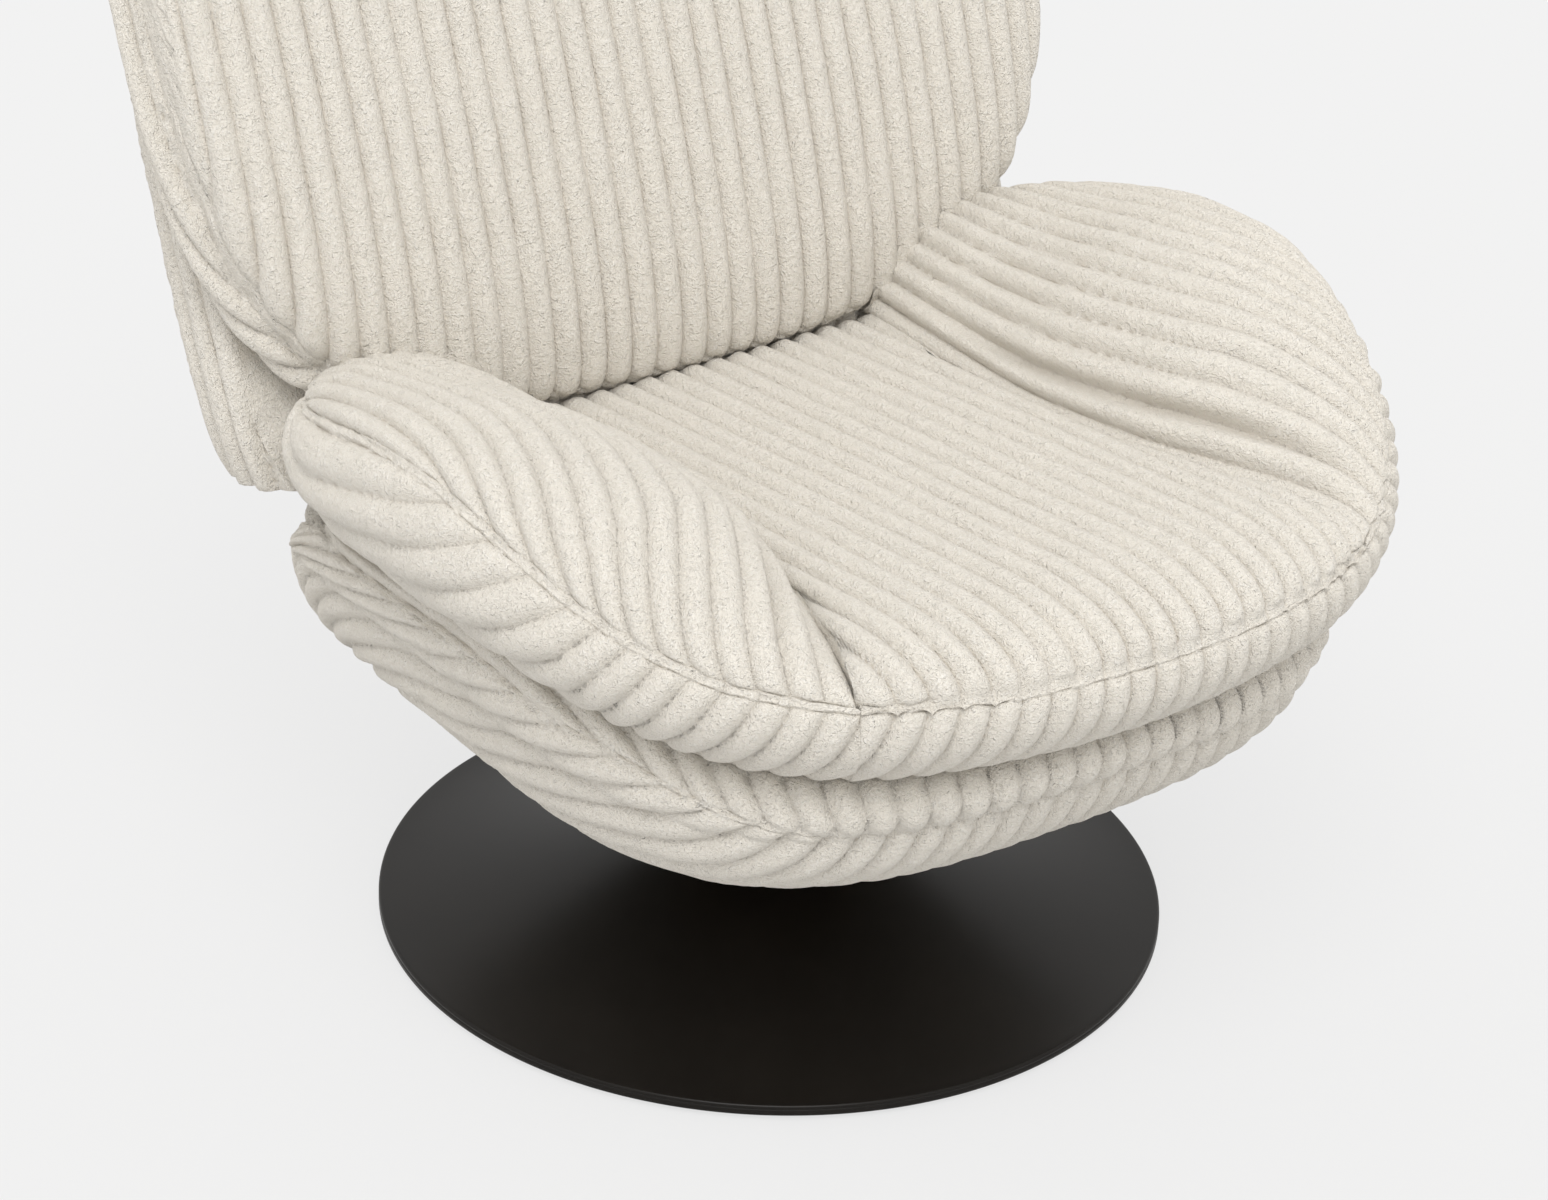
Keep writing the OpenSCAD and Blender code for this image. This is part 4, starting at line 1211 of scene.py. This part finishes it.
# %% A short way to write a material
class Material:
    """A Principled material with short ways to add grain, colours and bumps to it."""

    def __init__(self, name, **values):
        self.made = bpy.data.materials.new(name)
        self.made.use_nodes = True
        self.nodes, self.links = self.made.node_tree.nodes, self.made.node_tree.links
        self.shader = self.nodes["Principled BSDF"]
        for socket, value in values.items():
            self.shader.inputs[socket.replace("_", " ")].default_value = value
        print("material", name)

    def grain(self, scale, dark, light, stretch=(1, 1, 1)):
        """The grain group with its numbers. A colour may be a tuple or another node's output."""
        node = self.nodes.new("ShaderNodeGroup")
        node.node_tree = grain_group
        node.inputs["Scale"].default_value = scale
        node.inputs["Stretch"].default_value = stretch
        for socket, value in (("Dark", dark), ("Light", light)):
            if isinstance(value, tuple):
                node.inputs[socket].default_value = (*value, 1)
            else:
                self.links.new(value, node.inputs[socket])
        return node

    def colour(self, output):
        """Puts a colour on the shader."""
        self.links.new(output, self.shader.inputs["Base Color"])

    def bump(self, output, distance, strength=1.0):
        """Puts a bump on the shader, on top of one that is there already."""
        node = self.nodes.new("ShaderNodeBump")
        node.inputs["Strength"].default_value = strength
        node.inputs["Distance"].default_value = distance
        self.links.new(output, node.inputs["Height"])
        if self.shader.inputs["Normal"].is_linked:
            before = self.shader.inputs["Normal"].links[0].from_socket
            self.links.new(before, node.inputs["Normal"])
        self.links.new(node.outputs["Normal"], self.shader.inputs["Normal"])


# %% [markdown]
# ## Plush
# Short pile looks soft because each hair catches light from the side. Sheen on the shader gives that
# glow, a fine grain gives the hairs and the small dark specks between them, and a coarser one the places
# where the pile leans another way. The grooves, the crevices beside the seams and the pleats are painted
# warmer and darker: painted shade.

# %% Plush material
PATCH_SCALE = 34
TUFT_SCALE = 230
HAIR_SCALE = 760
TUFT_BUMP = 0.0032
HAIR_BUMP = 0.0024
# Painted shade in the grooves: the groove depth where it starts, and its colour
PAINTED_SHADE_FROM = 0.45
PAINTED_SHADE_COLOUR = (0.79, 0.735, 0.65, 1)

plush = Material("plush", Roughness=0.95, Specular_IOR_Level=0.12, Sheen_Weight=0.15, Sheen_Roughness=0.5,
                 Sheen_Tint=(1.0, 0.96, 0.90, 1))
patches = plush.grain(PATCH_SCALE, (0.885, 0.845, 0.775), (0.91, 0.875, 0.815))
tufts = plush.grain(TUFT_SCALE, (0.865, 0.82, 0.745), patches.outputs["Color"])
hairs = plush.grain(HAIR_SCALE, (0.815, 0.765, 0.68), tufts.outputs["Color"])
# Painted shade: from the groove attribute, the colour turns warmer and darker in grooves, crevices and pleats
depth = plush.nodes.new("ShaderNodeAttribute")
depth.attribute_name = "groove"
closed = plush.nodes.new("ShaderNodeMapRange")
closed.interpolation_type = "SMOOTHSTEP"
closed.inputs["From Min"].default_value = PAINTED_SHADE_FROM
plush.links.new(depth.outputs["Fac"], closed.inputs["Value"])
shade = plush.nodes.new("ShaderNodeMix")
shade.data_type = "RGBA"
shade.inputs[MIX_B].default_value = PAINTED_SHADE_COLOUR
plush.links.new(closed.outputs["Result"], shade.inputs["Factor"])
plush.links.new(hairs.outputs["Color"], shade.inputs[MIX_A])
plush.colour(shade.outputs[MIX_RESULT])
plush.bump(tufts.outputs["Height"], TUFT_BUMP)
plush.bump(hairs.outputs["Height"], HAIR_BUMP)
for piece in (seat_cover, arm_left, arm_right, back_cover, back_shell_cover, tub_cover):
    piece.data.materials.append(plush.made)
print("plush on", plush.made.users, "pieces")

# %% [markdown]
# ## The hard parts
# The base and the column are powder coated in a dark brown that is nearly black: very little gloss where
# one looks straight at it and more at a low angle. The hidden parts get the materials a workshop would
# use: zinc plated steel, black frame tube, plywood, bearing nylon, woven webbing, felt and rubber.

# %% Paint, steel and frame black
BLACK, WHITE = (0, 0, 0), (1, 1, 1)

paint = Material("dark_paint", Roughness=0.3, Specular_IOR_Level=0.2)
paint.colour(paint.grain(9, (0.0070, 0.0056, 0.0044), (0.0090, 0.0073, 0.0058)).outputs["Color"])
paint.bump(paint.grain(1400, BLACK, WHITE).outputs["Height"], 0.0002, 0.15)

steel = Material("zinc_steel", Metallic=1.0, Roughness=0.34)
steel.colour(steel.grain(160, (0.46, 0.47, 0.49), (0.60, 0.60, 0.60)).outputs["Color"])
steel.bump(steel.grain(900, BLACK, WHITE, (1, 1, 6)).outputs["Height"], 0.0001, 0.3)

frame_black = Material("frame_black", Roughness=0.5)
frame_black.colour(frame_black.grain(60, (0.025, 0.025, 0.027), (0.04, 0.04, 0.043)).outputs["Color"])
frame_black.bump(frame_black.grain(1100, BLACK, WHITE).outputs["Height"], 0.0002, 0.3)

# %% Plywood, nylon, webbing, felt and rubber
plywood = Material("plywood", Roughness=0.7, Specular_IOR_Level=0.3)
plies = plywood.grain(14, (0.36, 0.22, 0.11), (0.60, 0.43, 0.25), (1, 1, 46))
veneer = plywood.grain(40, (0.50, 0.34, 0.19), plies.outputs["Color"], (1, 9, 1))
plywood.colour(veneer.outputs["Color"])
plywood.bump(veneer.outputs["Height"], 0.0004, 0.4)

nylon = Material("bearing_nylon", Roughness=0.42)
nylon.colour(nylon.grain(120, (0.10, 0.10, 0.105), (0.13, 0.13, 0.135)).outputs["Color"])

webbing = Material("webbing", Roughness=0.9, Specular_IOR_Level=0.2)
threads = webbing.grain(500, (0.10, 0.10, 0.105), (0.24, 0.24, 0.25), (1, 0.25, 1))
webbing.colour(threads.outputs["Color"])
webbing.bump(threads.outputs["Height"], 0.0008)

felt = Material("felt", Roughness=1.0, Specular_IOR_Level=0.1)
flecks = felt.grain(300, (0.32, 0.31, 0.29), (0.52, 0.51, 0.48))
felt.colour(flecks.outputs["Color"])
felt.bump(flecks.outputs["Height"], 0.0012)

rubber = Material("rubber", Roughness=0.85, Specular_IOR_Level=0.2)
rubber.colour(rubber.grain(200, (0.045, 0.045, 0.045), (0.065, 0.065, 0.065)).outputs["Color"])

# %% Materials on the construction model's pieces
base_cover.data.materials.append(paint.made)
for material, names in (
        (paint, "base_plate column_tube swivel_plate"),
        (steel, "column_flange flange_screws thrust_washer spindle retaining_ring plate_bolts plate_washers "
                "tee_nuts foot_screws seat_clips bracket_bolts bracket_nuts back_clips"),
        (frame_black, "frame_feet seat_frame back_brackets back_frame"),
        (plywood, "hub_spacer seat_board"),
        (nylon, "lower_bush upper_bush"),
        (webbing, "seat_straps back_straps"),
        (felt, "seat_felt back_felt"),
        (rubber, "floor_pad")):
    for name in names.split():
        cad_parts[name].material_slots[0].material = material.made
    print(material.made.name, "on", names)

# %% [markdown]
# ## Floor and light
# The chair stands in an even white studio. A plain floor takes its soft shadow. One large light hangs
# above and the surroundings fill in the rest, so the light is soft and colours come out as written. The
# camera sees the floor and the surroundings at a level of their own, so they meet without an edge.

# %% How the camera sees the surroundings
PLAIN_COLOUR = (0.885, 0.885, 0.885, 1)


def seen_as_plain(nodes, links, lit, plain, share, output):
    """Shows a camera ray a mix of the lit surface and a plain colour, and every other ray the surface."""
    path, scaled = nodes.new("ShaderNodeLightPath"), nodes.new("ShaderNodeMath")
    scaled.operation = "MULTIPLY"
    scaled.inputs[1].default_value = share
    links.new(path.outputs["Is Camera Ray"], scaled.inputs[0])
    mixed = nodes.new("ShaderNodeMixShader")
    links.new(scaled.outputs["Value"], mixed.inputs["Fac"])
    links.new(lit, mixed.inputs[1])
    links.new(plain, mixed.inputs[2])
    links.new(mixed.outputs["Shader"], output)


print("the camera sees the surroundings at", PLAIN_COLOUR[0])

# %% Floor
FLOOR_REACH = 9
FLOOR_PLAIN_SHARE = 0.8

corners = [(x * FLOOR_REACH, y * FLOOR_REACH, 0) for x, y in ((-1, -1), (1, -1), (1, 1), (-1, 1))]
floor_mesh = bpy.data.meshes.new("floor")
floor_mesh.from_pydata(corners, [], [(0, 1, 2, 3)])
floor = bpy.data.objects.new("floor", floor_mesh)
scene.collection.objects.link(floor)
floor_paint = Material("floor_paint", Base_Color=(0.66, 0.66, 0.66, 1), Roughness=1.0, Specular_IOR_Level=0.0)
glow = floor_paint.nodes.new("ShaderNodeEmission")
glow.inputs["Color"].default_value = PLAIN_COLOUR
seen_as_plain(floor_paint.nodes, floor_paint.links, floor_paint.shader.outputs["BSDF"],
              glow.outputs["Emission"], FLOOR_PLAIN_SHARE,
              floor_paint.nodes["Material Output"].inputs["Surface"])
floor_mesh.materials.append(floor_paint.made)
print("floor", 2 * FLOOR_REACH, "m wide")

# %% Surroundings and lamp
SKY_COLOUR = (1.0, 0.995, 0.985, 1)
SKY_STRENGTH = 0.955
LAMP_PLACE = (-1.2, -1.6, 2.9)
LAMP_STRENGTH = 1.6
LAMP_SPREAD = 36

world = bpy.data.worlds.new("studio")
world.use_nodes = True
nodes, links = world.node_tree.nodes, world.node_tree.links
sky = nodes["Background"]
sky.inputs["Color"].default_value = SKY_COLOUR
sky.inputs["Strength"].default_value = SKY_STRENGTH
wall = nodes.new("ShaderNodeBackground")
wall.inputs["Color"].default_value = PLAIN_COLOUR
seen_as_plain(nodes, links, sky.outputs["Background"], wall.outputs["Background"], 1.0,
              nodes["World Output"].inputs["Surface"])
scene.world = world

lamp = bpy.data.lights.new("key", "SUN")
lamp.energy = LAMP_STRENGTH
lamp.angle = np.radians(LAMP_SPREAD)
lamp_object = bpy.data.objects.new("key", lamp)
lamp_object.location = LAMP_PLACE
lamp_object.rotation_mode = "QUATERNION"
lamp_object.rotation_quaternion = (-Vector(LAMP_PLACE)).to_track_quat("-Z", "Y")
scene.collection.objects.link(lamp_object)
scene.view_settings.view_transform = "Standard"
print("key light", LAMP_STRENGTH, "surroundings", SKY_STRENGTH)
